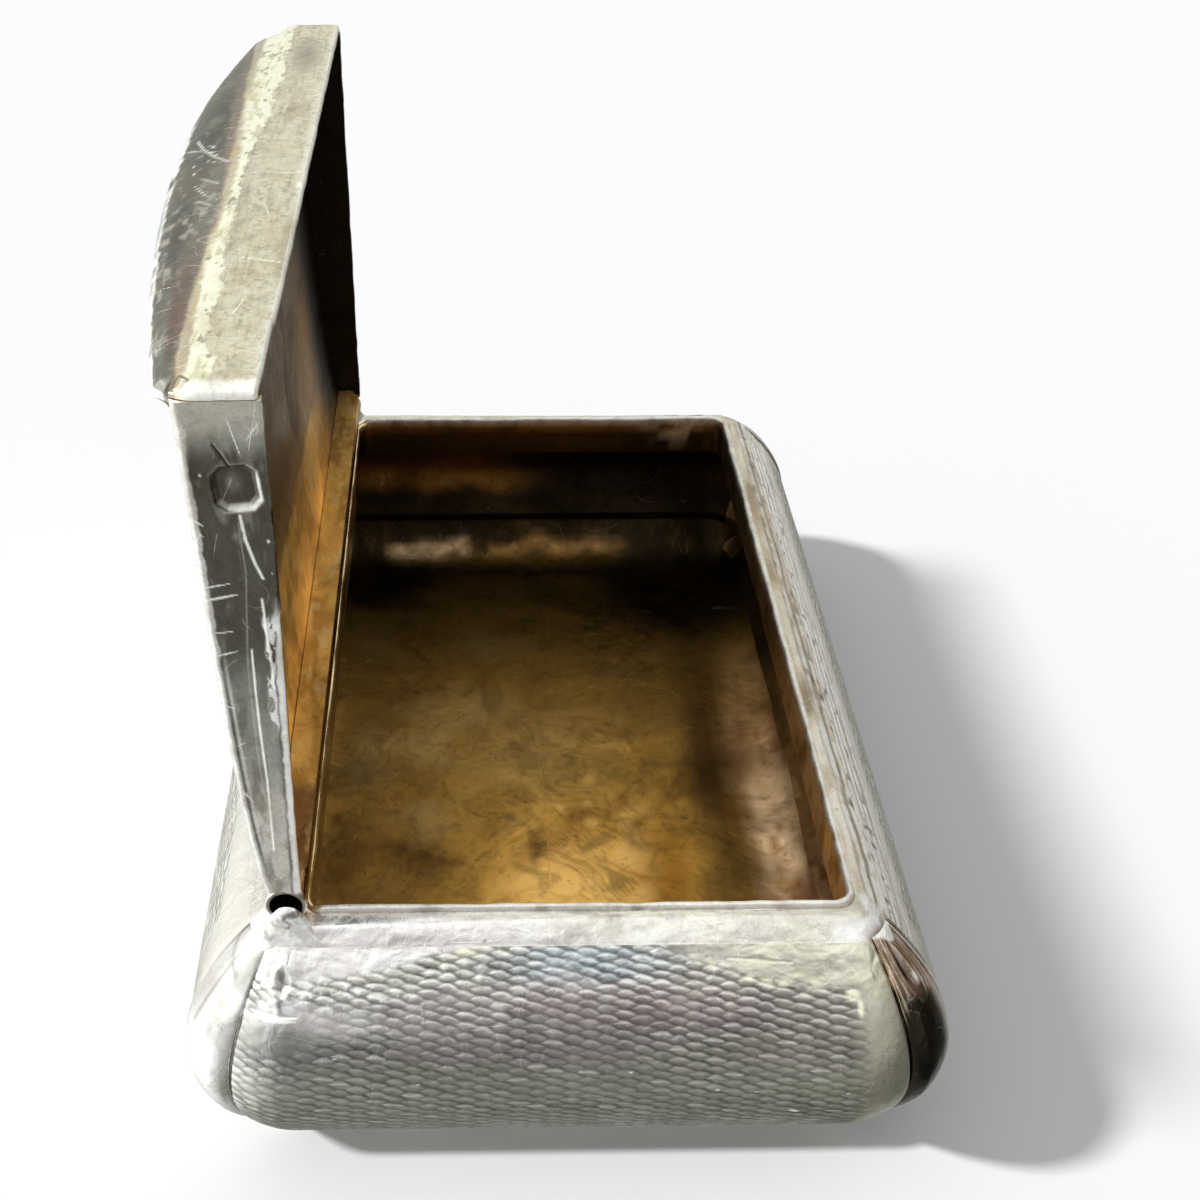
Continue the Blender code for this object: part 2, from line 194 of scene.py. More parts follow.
def shell(name, out, inn, body, stands_for, mats, tint_out, tint_in, rough_out=0.3,
          rough_in=0.45, edge=0, closed=False, angle=38):
    """A closed sheet between two grids of points, (rows, columns, 3), in millimetres."""
    nv, nu = out.shape[:2]
    n = nv * nu
    test = np.cross(out[1:, :-1] - out[:-1, :-1], out[:-1, 1:] - out[:-1, :-1])
    flip = np.sum(test * (out - inn)[:-1, :-1]) > 0
    idx = np.arange(n).reshape(nv, nu)
    cols = nu if closed else nu - 1
    j = np.arange(cols)
    j2 = (j + 1) % nu
    a, b, c, d = (idx[:-1][:, j], idx[:-1][:, j2], idx[1:][:, j2], idx[1:][:, j])
    quads = np.stack([a, b, c, d], -1).reshape(-1, 4)
    inner = np.stack([d, c, b, a], -1).reshape(-1, 4) + n
    rim = []
    for row, turn in ((0, 0), (nv - 1, 1)):
        r0, r1 = idx[row, j], idx[row, j2]
        q = np.stack([r1, r0, r0 + n, r1 + n], -1)
        rim.append(q[:, ::-1] if turn else q)
    if not closed:
        i = np.arange(nv - 1)
        for col, turn in ((0, 1), (nu - 1, 0)):
            r0, r1 = idx[i, col], idx[i + 1, col]
            q = np.stack([r1, r0, r0 + n, r1 + n], -1)
            rim.append(q[:, ::-1] if turn else q)
    rim = np.concatenate(rim)
    faces = np.concatenate([quads, inner, rim])
    if flip:
        faces = faces[:, ::-1]
    index = [0] * len(quads) + [1] * len(inner) + [edge] * len(rim)
    verts = np.concatenate([out.reshape(-1, 3), inn.reshape(-1, 3)])
    tint = np.concatenate([np.asarray(tint_out).reshape(-1, 4), np.asarray(tint_in).reshape(-1, 4)])
    ro = np.broadcast_to(rough_out, (nv, nu)).reshape(-1)
    ri = np.broadcast_to(rough_in, (nv, nu)).reshape(-1)
    return finish_mesh(name, verts, faces.tolist(), mats, index, tint, np.concatenate([ro, ri]),
                       body, stands_for, angle)


def loops_mesh(name, loops, body, stands_for, mats, tint, rough, index=None,
               close_section=True, cap=False, angle=38):
    """Skins a stack of closed loops, (loops, points, 3). With close_section the last
    loop joins the first; with cap the end loops are closed with a face."""
    L, n = loops.shape[:2]
    idx = np.arange(L * n).reshape(L, n)
    k = np.arange(L if close_section else L - 1)
    k2 = (k + 1) % L
    j2 = (np.arange(n) + 1) % n
    quads = np.stack([idx[k], idx[k][:, j2], idx[k2][:, j2], idx[k2]], -1).reshape(-1, 4)
    faces = quads.tolist()
    mat = [0] * len(faces) if index is None else np.repeat(index, n).tolist()
    if cap:
        faces.append(idx[0, ::-1].tolist())
        faces.append(idx[-1].tolist())
        mat += [mat[0], mat[-1]]
    verts = loops.reshape(-1, 3)
    # outward faces: the enclosed volume has to come out positive
    vol = 0.0
    for q in (quads[:, [0, 1, 2]], quads[:, [0, 2, 3]]):
        vol += np.sum(verts[q[:, 0]] * np.cross(verts[q[:, 1]], verts[q[:, 2]]))
    if cap:
        for f in faces[-2:]:
            f = np.array(f)
            o = verts[f[0]]
            vol += np.sum(o * np.cross(verts[f[1:-1]], verts[f[2:]]))
    if vol < 0:
        faces = [f[::-1] for f in faces]
    return finish_mesh(name, verts, faces, mats, mat, np.asarray(tint).reshape(-1, 4),
                       np.broadcast_to(rough, loops.shape[:2]).reshape(-1), body, stands_for,
                       angle)


# ------------------------------------------------------------------- materials
class Nodes:
    """Short forms for building a node tree."""

    def __init__(self, mat):
        mat.use_nodes = True
        self.t = mat.node_tree
        self.bsdf = self.t.nodes["Principled BSDF"]

    def new(self, kind, **values):
        node = self.t.nodes.new(kind)
        for key, value in values.items():
            setattr(node, key, value)
        return node

    def link(self, a, b):
        self.t.links.new(a, b)

    def coords(self, scale=(1, 1, 1), rotation=(0, 0, 0)):
        tc = self.new("ShaderNodeTexCoord")
        turn = self.new("ShaderNodeMapping")
        turn.inputs["Rotation"].default_value = rotation
        self.link(tc.outputs["Object"], turn.inputs["Vector"])
        mp = self.new("ShaderNodeMapping")
        mp.inputs["Scale"].default_value = scale
        self.link(turn.outputs["Vector"], mp.inputs["Vector"])
        return mp.outputs["Vector"]

    def noise(self, scale, detail=4.0, rough=0.55, distortion=0.0, stretch=(1, 1, 1),
              turn=(0, 0, 0)):
        n = self.new("ShaderNodeTexNoise")
        n.inputs["Scale"].default_value = scale
        n.inputs["Detail"].default_value = detail
        n.inputs["Roughness"].default_value = rough
        n.inputs["Distortion"].default_value = distortion
        self.link(self.coords(stretch, turn), n.inputs["Vector"])
        return n.outputs["Fac"]

    def remap(self, value, a, b, c=0.0, d=1.0, smooth=True):
        m = self.new("ShaderNodeMapRange")
        m.interpolation_type = "SMOOTHSTEP" if smooth else "LINEAR"
        m.inputs["From Min"].default_value = a
        m.inputs["From Max"].default_value = b
        m.inputs["To Min"].default_value = c
        m.inputs["To Max"].default_value = d
        self.link(value, m.inputs["Value"])
        return m.outputs["Result"]

    def math(self, op, a, b):
        m = self.new("ShaderNodeMath", operation=op)
        for socket, value in zip(m.inputs, (a, b)):
            if isinstance(value, (int, float)):
                socket.default_value = value
            else:
                self.link(value, socket)
        return m.outputs["Value"]

    def attribute(self, name, out="Color"):
        a = self.new("ShaderNodeAttribute")
        a.attribute_name = name
        return a.outputs[out]

    def bump(self, height, distance, strength=1.0, under=None):
        b = self.new("ShaderNodeBump")
        b.inputs["Distance"].default_value = distance
        b.inputs["Strength"].default_value = strength
        self.link(height, b.inputs["Height"])
        if under is not None:
            self.link(under, b.inputs["Normal"])
        return b.outputs["Normal"]


def color_mix(n, fac, a, b, blend="MIX"):
    m = n.new("ShaderNodeMix", data_type="RGBA", blend_type=blend)
    ins = [s for s in m.inputs if s.enabled]
    for socket, value in zip(ins, (fac, a, b)):
        if isinstance(value, (int, float)):
            socket.default_value = value
        elif isinstance(value, tuple):
            socket.default_value = (*value, 1.0)
        else:
            n.link(value, socket)
    return [s for s in m.outputs if s.enabled][0]


def scratches(n, seed, scale=620.0, thin=0.011, sparse=0.57):
    """A few fine scratches, short and in several directions."""
    total = None
    for k in range(4):
        turn = (0.4 + 1.1 * k + seed, 0.7 * k - 0.2 * seed, 1.3 * k + 0.5 * seed)
        f = n.noise(scale, 1.0, 0.4, 0.0, (0.10, 1.0, 0.8), turn)
        line = n.remap(n.math("ABSOLUTE", n.math("SUBTRACT", f, 0.5), 0.0), 0.0, thin, 1.0, 0.0)
        where = n.remap(n.noise(190.0 + 70 * k, 2.0, 0.5, 0.0, (1, 1, 1), (1.0 * k, seed, 1.7)),
                        sparse, sparse + 0.06, 0.0, 1.0)
        line = n.math("MULTIPLY", line, where)
        total = line if total is None else n.math("MAXIMUM", total, line)
    return total


def silver(name, seed=0.0, grain=1.0, stain=(0.60, 0.57, 0.50), scratch=0.6):
    mat = bpy.data.materials.new(name)
    n = Nodes(mat)
    b = n.bsdf
    n.link(n.attribute("tint", "Alpha"), b.inputs["Metallic"])
    tint = n.attribute("tint")
    polish = n.attribute("polish", "Fac")
    cloud = n.noise(260.0, 5.0, 0.62, 0.6, (1, 1, 1), (0.3 + seed, 0.1, 0.2))
    col = color_mix(n, n.remap(cloud, 0.46, 0.72, 0.0, 0.60 * grain), tint, stain, "MULTIPLY")
    mottle = n.noise(900.0, 5.0, 0.65, 0.8, (1, 1, 1), (0.2, 0.6 + seed, 0.9))
    col = color_mix(n, n.remap(mottle, 0.50, 0.70, 0.0, 0.40 * grain), col, (0.60, 0.58, 0.53), "MULTIPLY")
    fine = n.noise(3200.0, 5.0, 0.7, 0.2, (1, 1, 1), (0.9, seed, 0.4))
    col = color_mix(n, n.remap(fine, 0.40, 0.75, 0.0, 0.30 * grain), col, (0.52, 0.50, 0.45), "MULTIPLY")
    pits = n.new("ShaderNodeTexVoronoi", feature="F1")
    pits.inputs["Scale"].default_value = 700.0
    pits.inputs["Randomness"].default_value = 1.0
    n.link(n.coords((1, 1, 1), (0.2, seed, 0.7)), pits.inputs["Vector"])
    pit = n.remap(pits.outputs["Distance"], 0.04, 0.11, 1.0, 0.0)
    where = n.remap(n.noise(330.0, 3.0, 0.5, 0.0, (1, 1, 1), (1.3, 0.2, seed)), 0.55, 0.62, 0.0, 1.0)
    pit = n.math("MULTIPLY", pit, where)
    col = color_mix(n, n.math("MULTIPLY", pit, 0.6 * grain), col, (0.20, 0.18, 0.14), "MIX")
    line = scratches(n, seed)
    col = color_mix(n, n.math("MULTIPLY", line, 0.35 * scratch), col, (1.0, 0.98, 0.92), "MIX")
    n.link(col, b.inputs["Base Color"])
    rough = n.math("ADD", polish, n.remap(cloud, 0.35, 0.7, -0.06, 0.12))
    rough = n.math("ADD", rough, n.math("MULTIPLY", line, 0.10))
    rough = n.math("ADD", rough, n.remap(mottle, 0.35, 0.7, -0.04, 0.08))
    rough = n.math("ADD", rough, n.remap(fine, 0.3, 0.8, -0.04, 0.07))
    n.link(rough, b.inputs["Roughness"])
    wave = n.noise(420.0, 3.0, 0.55, 0.5, (1, 1, 1), (0.5, seed, 1.1))
    nor = n.bump(wave, 0.00022, 0.45)
    nor = n.bump(mottle, 0.00006, 0.40 * grain, nor)
    nor = n.bump(fine, 0.00002, 0.50 * grain, nor)
    nor = n.bump(line, 0.00002, 0.6 * scratch, nor)
    nor = n.bump(pit, 0.00004, -0.8 * grain, nor)
    n.link(nor, b.inputs["Normal"])
    return mat


def gilt(name, seed=0.0):
    mat = bpy.data.materials.new(name)
    n = Nodes(mat)
    b = n.bsdf
    b.inputs["Metallic"].default_value = 0.90
    tint = n.attribute("tint")
    polish = n.attribute("polish", "Fac")
    cloud = n.noise(120.0, 6.0, 0.60, 0.9, (1, 1, 1), (seed, 0.4, 0.2))
    col = color_mix(n, n.remap(cloud, 0.44, 0.68, 0.0, 0.55), tint, (0.42, 0.34, 0.24), "MULTIPLY")
    bloom = n.noise(330.0, 7.0, 0.66, 1.2, (1, 1, 1), (0.4, seed, 1.2))
    col = color_mix(n, n.remap(bloom, 0.50, 0.68, 0.0, 0.42), col, (0.45, 0.36, 0.24), "MULTIPLY")
    glow = n.noise(250.0, 6.0, 0.62, 0.9, (1, 1, 1), (1.4, seed, 0.2))
    col = color_mix(n, n.remap(glow, 0.54, 0.74, 0.0, 0.22), col, (0.95, 0.66, 0.30), "SOFT_LIGHT")
    spot = n.noise(1700.0, 5.0, 0.7, 0.2, (1, 1, 1), (0.1, 0.9, seed))
    col = color_mix(n, n.remap(spot, 0.56, 0.74, 0.0, 0.5), col, (0.22, 0.14, 0.06), "MULTIPLY")
    line = scratches(n, seed + 0.6, 560.0, 0.008, 0.62)
    col = color_mix(n, n.math("MULTIPLY", line, 0.10), col, (0.90, 0.74, 0.46), "MIX")
    n.link(col, b.inputs["Base Color"])
    rough = n.math("ADD", polish, n.remap(cloud, 0.3, 0.7, -0.10, 0.12))
    n.link(n.math("ADD", rough, n.remap(spot, 0.3, 0.8, -0.05, 0.10)), b.inputs["Roughness"])
    nor = n.bump(cloud, 0.00035, 0.30)
    nor = n.bump(bloom, 0.00012, 0.30, nor)
    nor = n.bump(spot, 0.00002, 0.5, nor)
    nor = n.bump(line, 0.00001, 0.4, nor)
    n.link(nor, b.inputs["Normal"])
    return mat


SILVER = silver("silver_plain", 0.0)
SILVER_LID = silver("silver_lid", 0.8, 1.15, (0.62, 0.58, 0.48), scratch=0.9)
SILVER_TURNED = silver("silver_engine_turned", 0.4, 0.55, scratch=0.4)
GILT = gilt("silver_gilt", 0.2)
GILT_LID = gilt("silver_gilt_lid", 0.9)

PALE = (0.90, 0.89, 0.84)
MID = (0.62, 0.62, 0.58)
GOLD = (0.66, 0.43, 0.15)
BROWN = (0.30, 0.19, 0.08)

# ------------------------------------------------------------- the base's walls
TRACK_R = RIM_R + 0.8 * BULGE_Y


def swell(t):
    return 1 - np.abs(2 * t - 1) ** POWER


def skin(cx, cy, angle, z, rise=0.0):
    """Outer skin of the wall, as the CAD part has it."""
    t = (z - WALL_Z0) / (WALL_Z1 - WALL_Z0)
    nx, ny = np.cos(np.radians(angle)), np.sin(np.radians(angle))
    off = swell(np.clip(t, 0, 1)) * (BULGE_X * nx * nx + BULGE_Y * ny * ny + FOOT * (t < 0.5)) - FOOT * (t < 0.5)
    r = RIM_R + off + rise
    return np.stack(np.broadcast_arrays(cx + r * nx, cy + r * ny, z + 0 * nx), -1)


CENTRES = {
    "nf": (RIM_XR - RIM_R, -RIM_Y + RIM_R, -90.0),
    "ff": (RIM_XR - RIM_R, RIM_Y - RIM_R, 0.0),
    "fb": (RIM_XL + RIM_R, RIM_Y - RIM_R, 90.0),
    "nb": (RIM_XL + RIM_R, -RIM_Y + RIM_R, 180.0),
}


def level_rows(n, bulge):
    """Heights spaced evenly along the swelling wall, and the distance along it."""
    z = np.linspace(WALL_Z0 - 0.06, WALL_Z1, 900)
    t = np.clip((z - WALL_Z0) / (WALL_Z1 - WALL_Z0), 0, 1)
    r = swell(t) * bulge
    v = np.concatenate([[0], np.cumsum(np.hypot(np.diff(z), np.diff(r)))])
    vs = np.linspace(0, v[-1], n)
    return np.interp(vs, v, z), vs


def track(a, b, base, turn, n_turn, n_run):
    """Centres and angles from corner a to corner b, turned into each by an angle,
    and the distance along the surface measured from the middle of the run."""
    (ax, ay), (bx, by) = a, b
    run = math.hypot(bx - ax, by - ay)
    k = np.linspace(0, 1, n_turn, endpoint=False)
    f = np.linspace(0, 1, n_run)
    e = np.linspace(0, 1, n_turn + 1)[1:]
    cx = np.concatenate([0 * k + ax, ax + (bx - ax) * f, 0 * e + bx])
    cy = np.concatenate([0 * k + ay, ay + (by - ay) * f, 0 * e + by])
    ang = np.concatenate([base - turn * (1 - k), 0 * f + base, base + turn * e])
    arc = TRACK_R * math.radians(turn)
    u = np.concatenate([-run / 2 - arc * (1 - k), -run / 2 + run * f, run / 2 + arc * e])
    return cx, cy, ang, u


GRAIN_W, GRAIN_H = 2.08, 0.58


def turning(u, v, seed=0):
    """Engine turning: waved cuts, each shifted against the last, that leave columns of
    staggered six-sided grains. Gives their height, 0 to 1, and the place up each grain, -1 to 1."""
    u = u + 0.22 * fbm(u / 1.2, v / 0.7, 881 + seed, 2)
    v = v + 0.095 * fbm(u / 0.9, v / 0.6, 883 + seed, 2)
    pitch = 0.5 * GRAIN_W
    q = u / pitch
    best = None
    for k in (0, 1):
        col = np.floor(q) + k
        du = q - col
        t = v / GRAIN_H - 0.5 * np.mod(col, 2) + 0.16 * du
        row = np.round(t)
        dv = t - row
        far_ = np.maximum(np.abs(dv) / 0.5, (np.abs(du) + 1.2 * np.abs(dv)) / 0.80)
        pick = [far_, du, dv, _hash(col + 900, row + 900, 885 + seed), _hash(col + 900, row + 900, 887 + seed)]
        if best is None:
            best = pick
        else:
            nearer = far_ < best[0]
            best = [np.where(nearer, new, old) for new, old in zip(pick, best)]
    far_, du, dv, cell, other = best
    flat_d = (0.5 - np.abs(dv)) * GRAIN_H
    lean_d = (0.80 - np.abs(du) - 1.2 * np.abs(dv)) / math.hypot(1 / pitch, 1.2 / GRAIN_H)
    falls = (du * dv > 0).astype(float)
    deep = (0.08 + 0.32 * other) * (1 - falls) + (0.80 + 0.2 * cell) * falls
    cut_f = (0.45 + 0.55 * other) * np.exp(-(flat_d / (0.040 + 0.020 * cell)) ** 2)
    cut_l = deep * np.exp(-(lean_d / (0.048 + 0.020 * other)) ** 2)
    low_ = np.clip(1 - (1 - cut_f) * (1 - cut_l), 0, 1)
    side_d = np.maximum(np.minimum(flat_d, lean_d * (0.8 + 0.5 * cell) + 0.02 * (1 - falls)), 0)
    dome_ = (1 - np.exp(-(side_d / 0.075) ** 2)) * (1 - 0.30 * np.clip(far_, 0, 1) ** 2)
    return np.clip(dome_ * (0.70 + 0.35 * cell) * (1 - 0.8 * low_), 0, 1), 2 * dv - 0.3 * du, low_, cell


def edge_round(dist, r):
    """How far a rounded edge falls away at a distance from the border."""
    e = np.clip(dist, 0, r)
    return -(r - np.sqrt(np.maximum(r * r - (r - e) ** 2, 0)))


def gilt_wall(u, v, z, seed):
    """Colour of the stained gilding on the inside of a wall."""
    tint = flat_tint(u.shape, (0.40, 0.26, 0.11))
    dark = step(0.0, 0.6, fbm(u / 7.0, v / 5.0, seed) + 0.25)
    tint = lerp(tint, (0.13, 0.085, 0.035), dark * 0.85)
    return tint


def build_panel(name, node, a, b, base, turn, n_run, bulge, mask_fn, tint_fn, seed, skew=0.0,
                rows=205, n_turn=26, inside=None, dents=None, soft=lambda U, Z: 1.0):
    z, v = level_rows(rows, bulge)
    cx, cy, ang, u = track(a, b, base, turn, n_turn, n_run)
    U, V = np.meshgrid(u, v)
    Z = np.repeat(z[:, None], len(u), 1)
    P = skin(cx[None], cy[None], ang[None], Z)
    N = normals(P)
    centre = np.array([0.0, 0.0, H / 2])
    if np.sum(N * (P - centre)) < 0:
        N = -N
    mask = mask_fn(U, V, Z)
    warp_u = 0.16 * fbm(U / 6.0, V / 5.0, seed + 3, 2)
    warp_v = 0.10 * fbm(U / 7.0, V / 5.0, seed + 5, 2) + skew * U
    E, up, low, cell = turning(U + warp_u, V + warp_v, seed)
    hit = 0.70 + 0.45 * fbm(U / 1.6, V / 0.9, seed + 9, 3)
    bias = swell(np.clip((Z - WALL_Z0) / (WALL_Z1 - WALL_Z0), 0, 1))
    d = 0.070 * mask * hit * (E - 0.8) + (0.030 * fbm(U / 3.5, V / 3.5, seed + 1, 2) - 0.065) * bias
    if dents is not None:
        d = d + dents(U, V, Z)
    side = np.minimum(u - u[0], u[-1] - u)[None]
    foot = v[:, None] - v[0]
    d = d + edge_round(side + 0 * V, 0.26) * soft(U, Z) + edge_round(foot + 0 * U, 0.30)
    out = P + N * d[..., None]
    fillet = (0.33 + 0.65 * (bulge - BULGE_X)) * step(3.2, 4.1, Z) * step(9.5, 4.5, Z)
    inn = P - N * (WALL_T + fillet + 0.03 * fbm(U / 5.0, V / 5.0, seed + 21, 2))[..., None]
    tint = tint_fn(U, V, Z, mask, E)
    # painted light and shade on the grains: painted shade in the cuts and on the lower side of each grain, a painted
    # highlight on its upper part, and painted glints
    tint = shade(tint, (1 - 0.70 * np.clip(mask, 0, 1) * low)
                 * (1 + mask * (0.34 * step(0.0, 0.42, up) * step(0.75, 0.45, up) + 0.22 * (cell - 0.5)
                                - 0.18 * step(0.05, -0.5, up)))
                 * (1 + 0.34 * mask * fbm(U / 0.42, V / 0.26, seed + 7, 3)))
    glint = mask * step(0.80, 0.95, cell) * blob(up, 0 * up, 0.28, 0, 0.22, 1, 0.8) * (1 - low)
    tint = lerp(tint, (1.0, 1.0, 0.97, 0.5), np.clip(glint, 0, 1) * 0.55)
    rough = 0.24 + 0.08 * mask + 0.05 * fbm(U / 2.0, V / 2.0, seed + 31, 2)
    tin = (inside or gilt_wall)(U, V, Z, seed + 40)
    return shell(name, out, inn, "base", node,
                 [SILVER_TURNED, GILT], tint, tin, rough, 0.45)


SEAM = 30.4


def near_mask(U, V, Z):
    rag = 0.22 * fbm(U / 1.1, Z / 1.0, 11, 3)
    top = 16.55 - 1.75 * step(3.2, 15.5, U + 0.65) - 1.35 * step(-3.5, -17.2, U - 0.65)
    m = 1 - step(-0.10, 0.35, Z - top + rag)
    m = m * (1 - 0.97 * blob(U, Z, -17.6, 13.2, 3.4, 1.7, 0.6))
    m = m * (1 - 0.55 * blob(U, Z, -14.0, 13.6, 4.6, 1.1, 0.8))
    m = m * (1 - step(16.4, 18.2, U + 0.10 * (Z - 9) * (Z > 9)))
    m = m * step(-20.8, -19.6, U)
    worn = 0.82 + 0.28 * fbm(U / 3.0, Z / 2.0, 14, 3)
    return m * np.clip(worn, 0.4, 1)


def near_tint(U, V, Z, mask, E):
    left = step(4.0, -18.0, U)
    right = step(2.0, 18.0, U)
    m = np.clip(mask, 0, 1)
    tint = flat_tint(U.shape, (0.70, 0.70, 0.65))
    low = step(13.4, 8.0, Z)
    tint = lerp(tint, (0.80, 0.81, 0.74), low * 0.9)
    # greenish and darker towards the lower right: painted shade
    tint = lerp(tint, (0.46, 0.47, 0.38), step(3.0, 18.5, U) * step(11.0, 4.0, Z) * 0.85)
    tint = lerp(tint, (0.88, 0.88, 0.84), step(-4.0, -18.0, U) * low * 0.6)
    pink = blob(U, Z, 4.0, 14.0, 14.5, 1.6, 0.8) * (0.65 + 0.5 * fbm(U / 2, Z / 1.2, 51, 3))
    tint = lerp(tint, (0.66, 0.53, 0.56), pink * 0.85)
    pink2 = blob(U, Z, -3.0, 12.6, 9.0, 1.5, 0.9) * (0.5 + 0.5 * fbm(U / 2, Z / 1.2, 53, 3))
    tint = lerp(tint, (0.70, 0.62, 0.66), pink2 * 0.6)
    blue = blob(U, Z, 0.5, 15.95, 7.0, 1.05, 0.6) * (0.75 + 0.4 * fbm(U / 1.4, Z / 0.8, 55, 3))
    tint = lerp(tint, (0.52, 0.60, 0.66), blue * 0.9)
    # painted shade: the turned area darker in a band at height 13 and low down, and the panel darker towards the bottom
    # and the lower right
    tint = shade(tint, 1 - m * (0.26 * np.exp(-((Z - 13.0) / 1.7) ** 2) + 0.10 * step(10.0, 8.0, Z)))
    right_low_shade = step(-12.0, 6.0, U) * step(7.5, 2.5, Z)
    tint = shade(tint, 1 - 0.08 * step(13.5, 9.5, Z) - 0.20 * right_low_shade)
    plain = 1 - m
    # the plain border darker low down at the right-hand end: painted shade
    tint = shade(tint, 1 - 0.40 * plain * step(13.0, 10.5, Z) * step(15.0, 17.0, U))
    tint = lerp(tint, (0.99, 0.98, 0.97, 0.30), plain * step(6.0, -6.0, U) * (1 - blue) * step(12.0, 13.5, Z))
    # painted highlight and shade on the creases of the plain border
    crease = fbm(U / 1.5 + 0.8 * vnoise(Z / 0.7, U / 1.5, 321), Z / 0.5, 322, 4)
    tint = lerp(tint, (0.72, 0.70, 0.69, 0.05), plain * step(0.06, 0.42, crease) * step(14.2, 15.2, Z) * 0.5)
    tint = lerp(tint, (1.0, 1.0, 0.99, 0.6), plain * step(0.12, 0.45, -crease) * step(14.2, 15.2, Z) * 0.6)
    tint = lerp(tint, (0.86, 0.85, 0.70, 0.12), plain * step(4.0, 12.0, U) * 0.95)
    # ragged painted highlight along the top edge of the turning, where the turning has worn through
    top = 16.55 - 1.75 * step(3.2, 15.5, U + 0.65) - 1.35 * step(-3.5, -17.2, U - 0.65)
    rag = fbm(U / 0.8, Z / 0.35, 77, 4)
    lip = np.exp(-((Z - top - 0.35 * rag) / 0.22) ** 2) * step(0.0, 0.35, rag + 0.12)
    along = np.clip(blob(U, Z, -6.0, 15.9, 3.4, 1.2, 0.7) + blob(U, Z, 10.6, 15.3, 5.2, 1.2, 0.6), 0, 1)
    tint = lerp(tint, (1.0, 1.0, 0.74, 0.75), np.clip(lip * along, 0, 1))
    # painted highlights: bright flecks and small spots
    fleck_highlight = blob(U, Z, 16.5, 14.6, 0.62, 0.30, 0.7) + blob(U, Z, 17.0, 14.05, 0.28, 0.55, 0.7)
    tint = lerp(tint, (1.0, 1.0, 0.76, 0.9), np.clip(fleck_highlight, 0, 1))
    for x, z, w in ((-13.9, 11.9, 0.10), (13.2, 7.8, 0.20), (13.0, 7.95, 0.12), (8.5, 9.8, 0.10),
                    (10.8, 9.6, 0.10), (9.0, 4.6, 0.14), (-9.0, 10.4, 0.07), (3.4, 11.0, 0.07),
                    (-17.8, 7.2, 0.06), (16.2, 9.4, 0.08), (12.1, 6.4, 0.07)):
        tint = lerp(tint, (1.0, 1.0, 0.96, 0.9), blob(U, Z, x, z, w * 1.7, w * 0.8, 0.6))
    # crumpled patch in the worn corner by the hinge, with painted highlight and shade on its creases
    worn = blob(U, Z, -17.9, 14.9, 3.6, 1.9, 0.6)
    swirl = fbm(U / 0.9 + 0.8 * vnoise(Z / 0.6, U / 0.8, 57), Z / 0.8, 59, 3)
    tint = lerp(tint, (0.95, 0.945, 0.935, 0.45), worn * step(-0.1, 0.25, swirl))
    tint = lerp(tint, (0.50, 0.50, 0.48, 0.0), worn * step(0.12, 0.42, -swirl) * 0.75)
    smooth_ = blob(U, Z, -17.4, 12.4, 4.0, 1.6, 0.6)
    tint = lerp(tint, (0.56, 0.57, 0.55, 0.0), smooth_ * 0.9)
    # painted highlights scattered along the top of the worn corner
    sparkle_highlight = step(0.25, 0.5, fbm(U / 0.30, Z / 0.22, 60, 2)) * blob(U, Z, -13.6, 14.8, 5.0, 0.9, 0.8)
    tint = lerp(tint, (1.0, 1.0, 0.98, 0.9), sparkle_highlight * 0.9)
    # painted shade in the dent
    dark = blob(U, Z, -17.2, 15.3, 0.85, 0.6, 0.7)
    tint = lerp(tint, (0.28, 0.27, 0.25, 0.0), dark * 0.8)
    seam_l = np.exp(-((U + 20.75) / 0.16) ** 2) * step(13.6, 12.9, Z)
    # painted highlight beside the dark seam
    tint = lerp(tint, (1.0, 1.0, 0.97, 0.85), np.exp(-((U + 20.2) / 0.22) ** 2) * step(13.9, 13.2, Z) * 0.9)
    tint = lerp(tint, (0.03, 0.03, 0.028, 0.0), np.clip(seam_l * 1.4, 0, 1))
    # painted highlight along the groove
    line = np.clip(stroke(U, Z, -19.4, 13.75, -16.2, 13.7, 0.13) * 1.6, 0, 1)
    tint = lerp(tint, (1.0, 1.0, 0.97, 0.85), line)
    return tint


def near_dents(U, V, Z):
    d = -0.20 * blob(U, Z, -17.2, 15.3, 0.80, 0.6, 0.9)
    d = d + 0.09 * (blob(U, Z, -17.2, 15.3, 1.35, 1.05, 0.6) - blob(U, Z, -17.2, 15.3, 0.85, 0.66, 0.6))
    d = d - 0.05 * stroke(U, Z, -19.6, 14.0, -16.2, 13.9, 0.16)
    d = d - 0.06 * stroke(U, Z, -16.4, 16.6, -16.7, 16.0, 0.12)
    d = d - 0.03 * stroke(U, Z, 9.2, 16.1, 13.0, 15.9, 0.10)
    worn = blob(U, Z, -17.6, 13.6, 4.4, 3.0, 0.8)
    d = d + 0.07 * worn * fbm(U / 1.3 + 0.6 * vnoise(Z, U, 57), Z / 1.1, 58, 3)
    top = 1 - step(-0.3, 0.4, 14.4 - Z)
    crease = fbm(U / 1.5 + 0.8 * vnoise(Z / 0.7, U / 1.5, 321), Z / 0.5, 322, 4)
    return d + 0.05 * top * fbm(U / 1.6, Z / 0.9, 56, 3) + 0.05 * crease * step(14.4, 15.4, Z)


def plain_border(top=14.9, side=18.0):
    def mask(U, V, Z):
        rag = 0.15 * fbm(U / 1.3, Z / 1.2, 61, 3)
        m = (1 - step(-0.1, 0.3, Z - top + rag)) * (1 - step(side - 0.8, side + 0.2, np.abs(U)))
        return m * np.clip(0.85 + 0.3 * fbm(U / 4, Z / 3, 63, 2), 0.45, 1)
    return mask


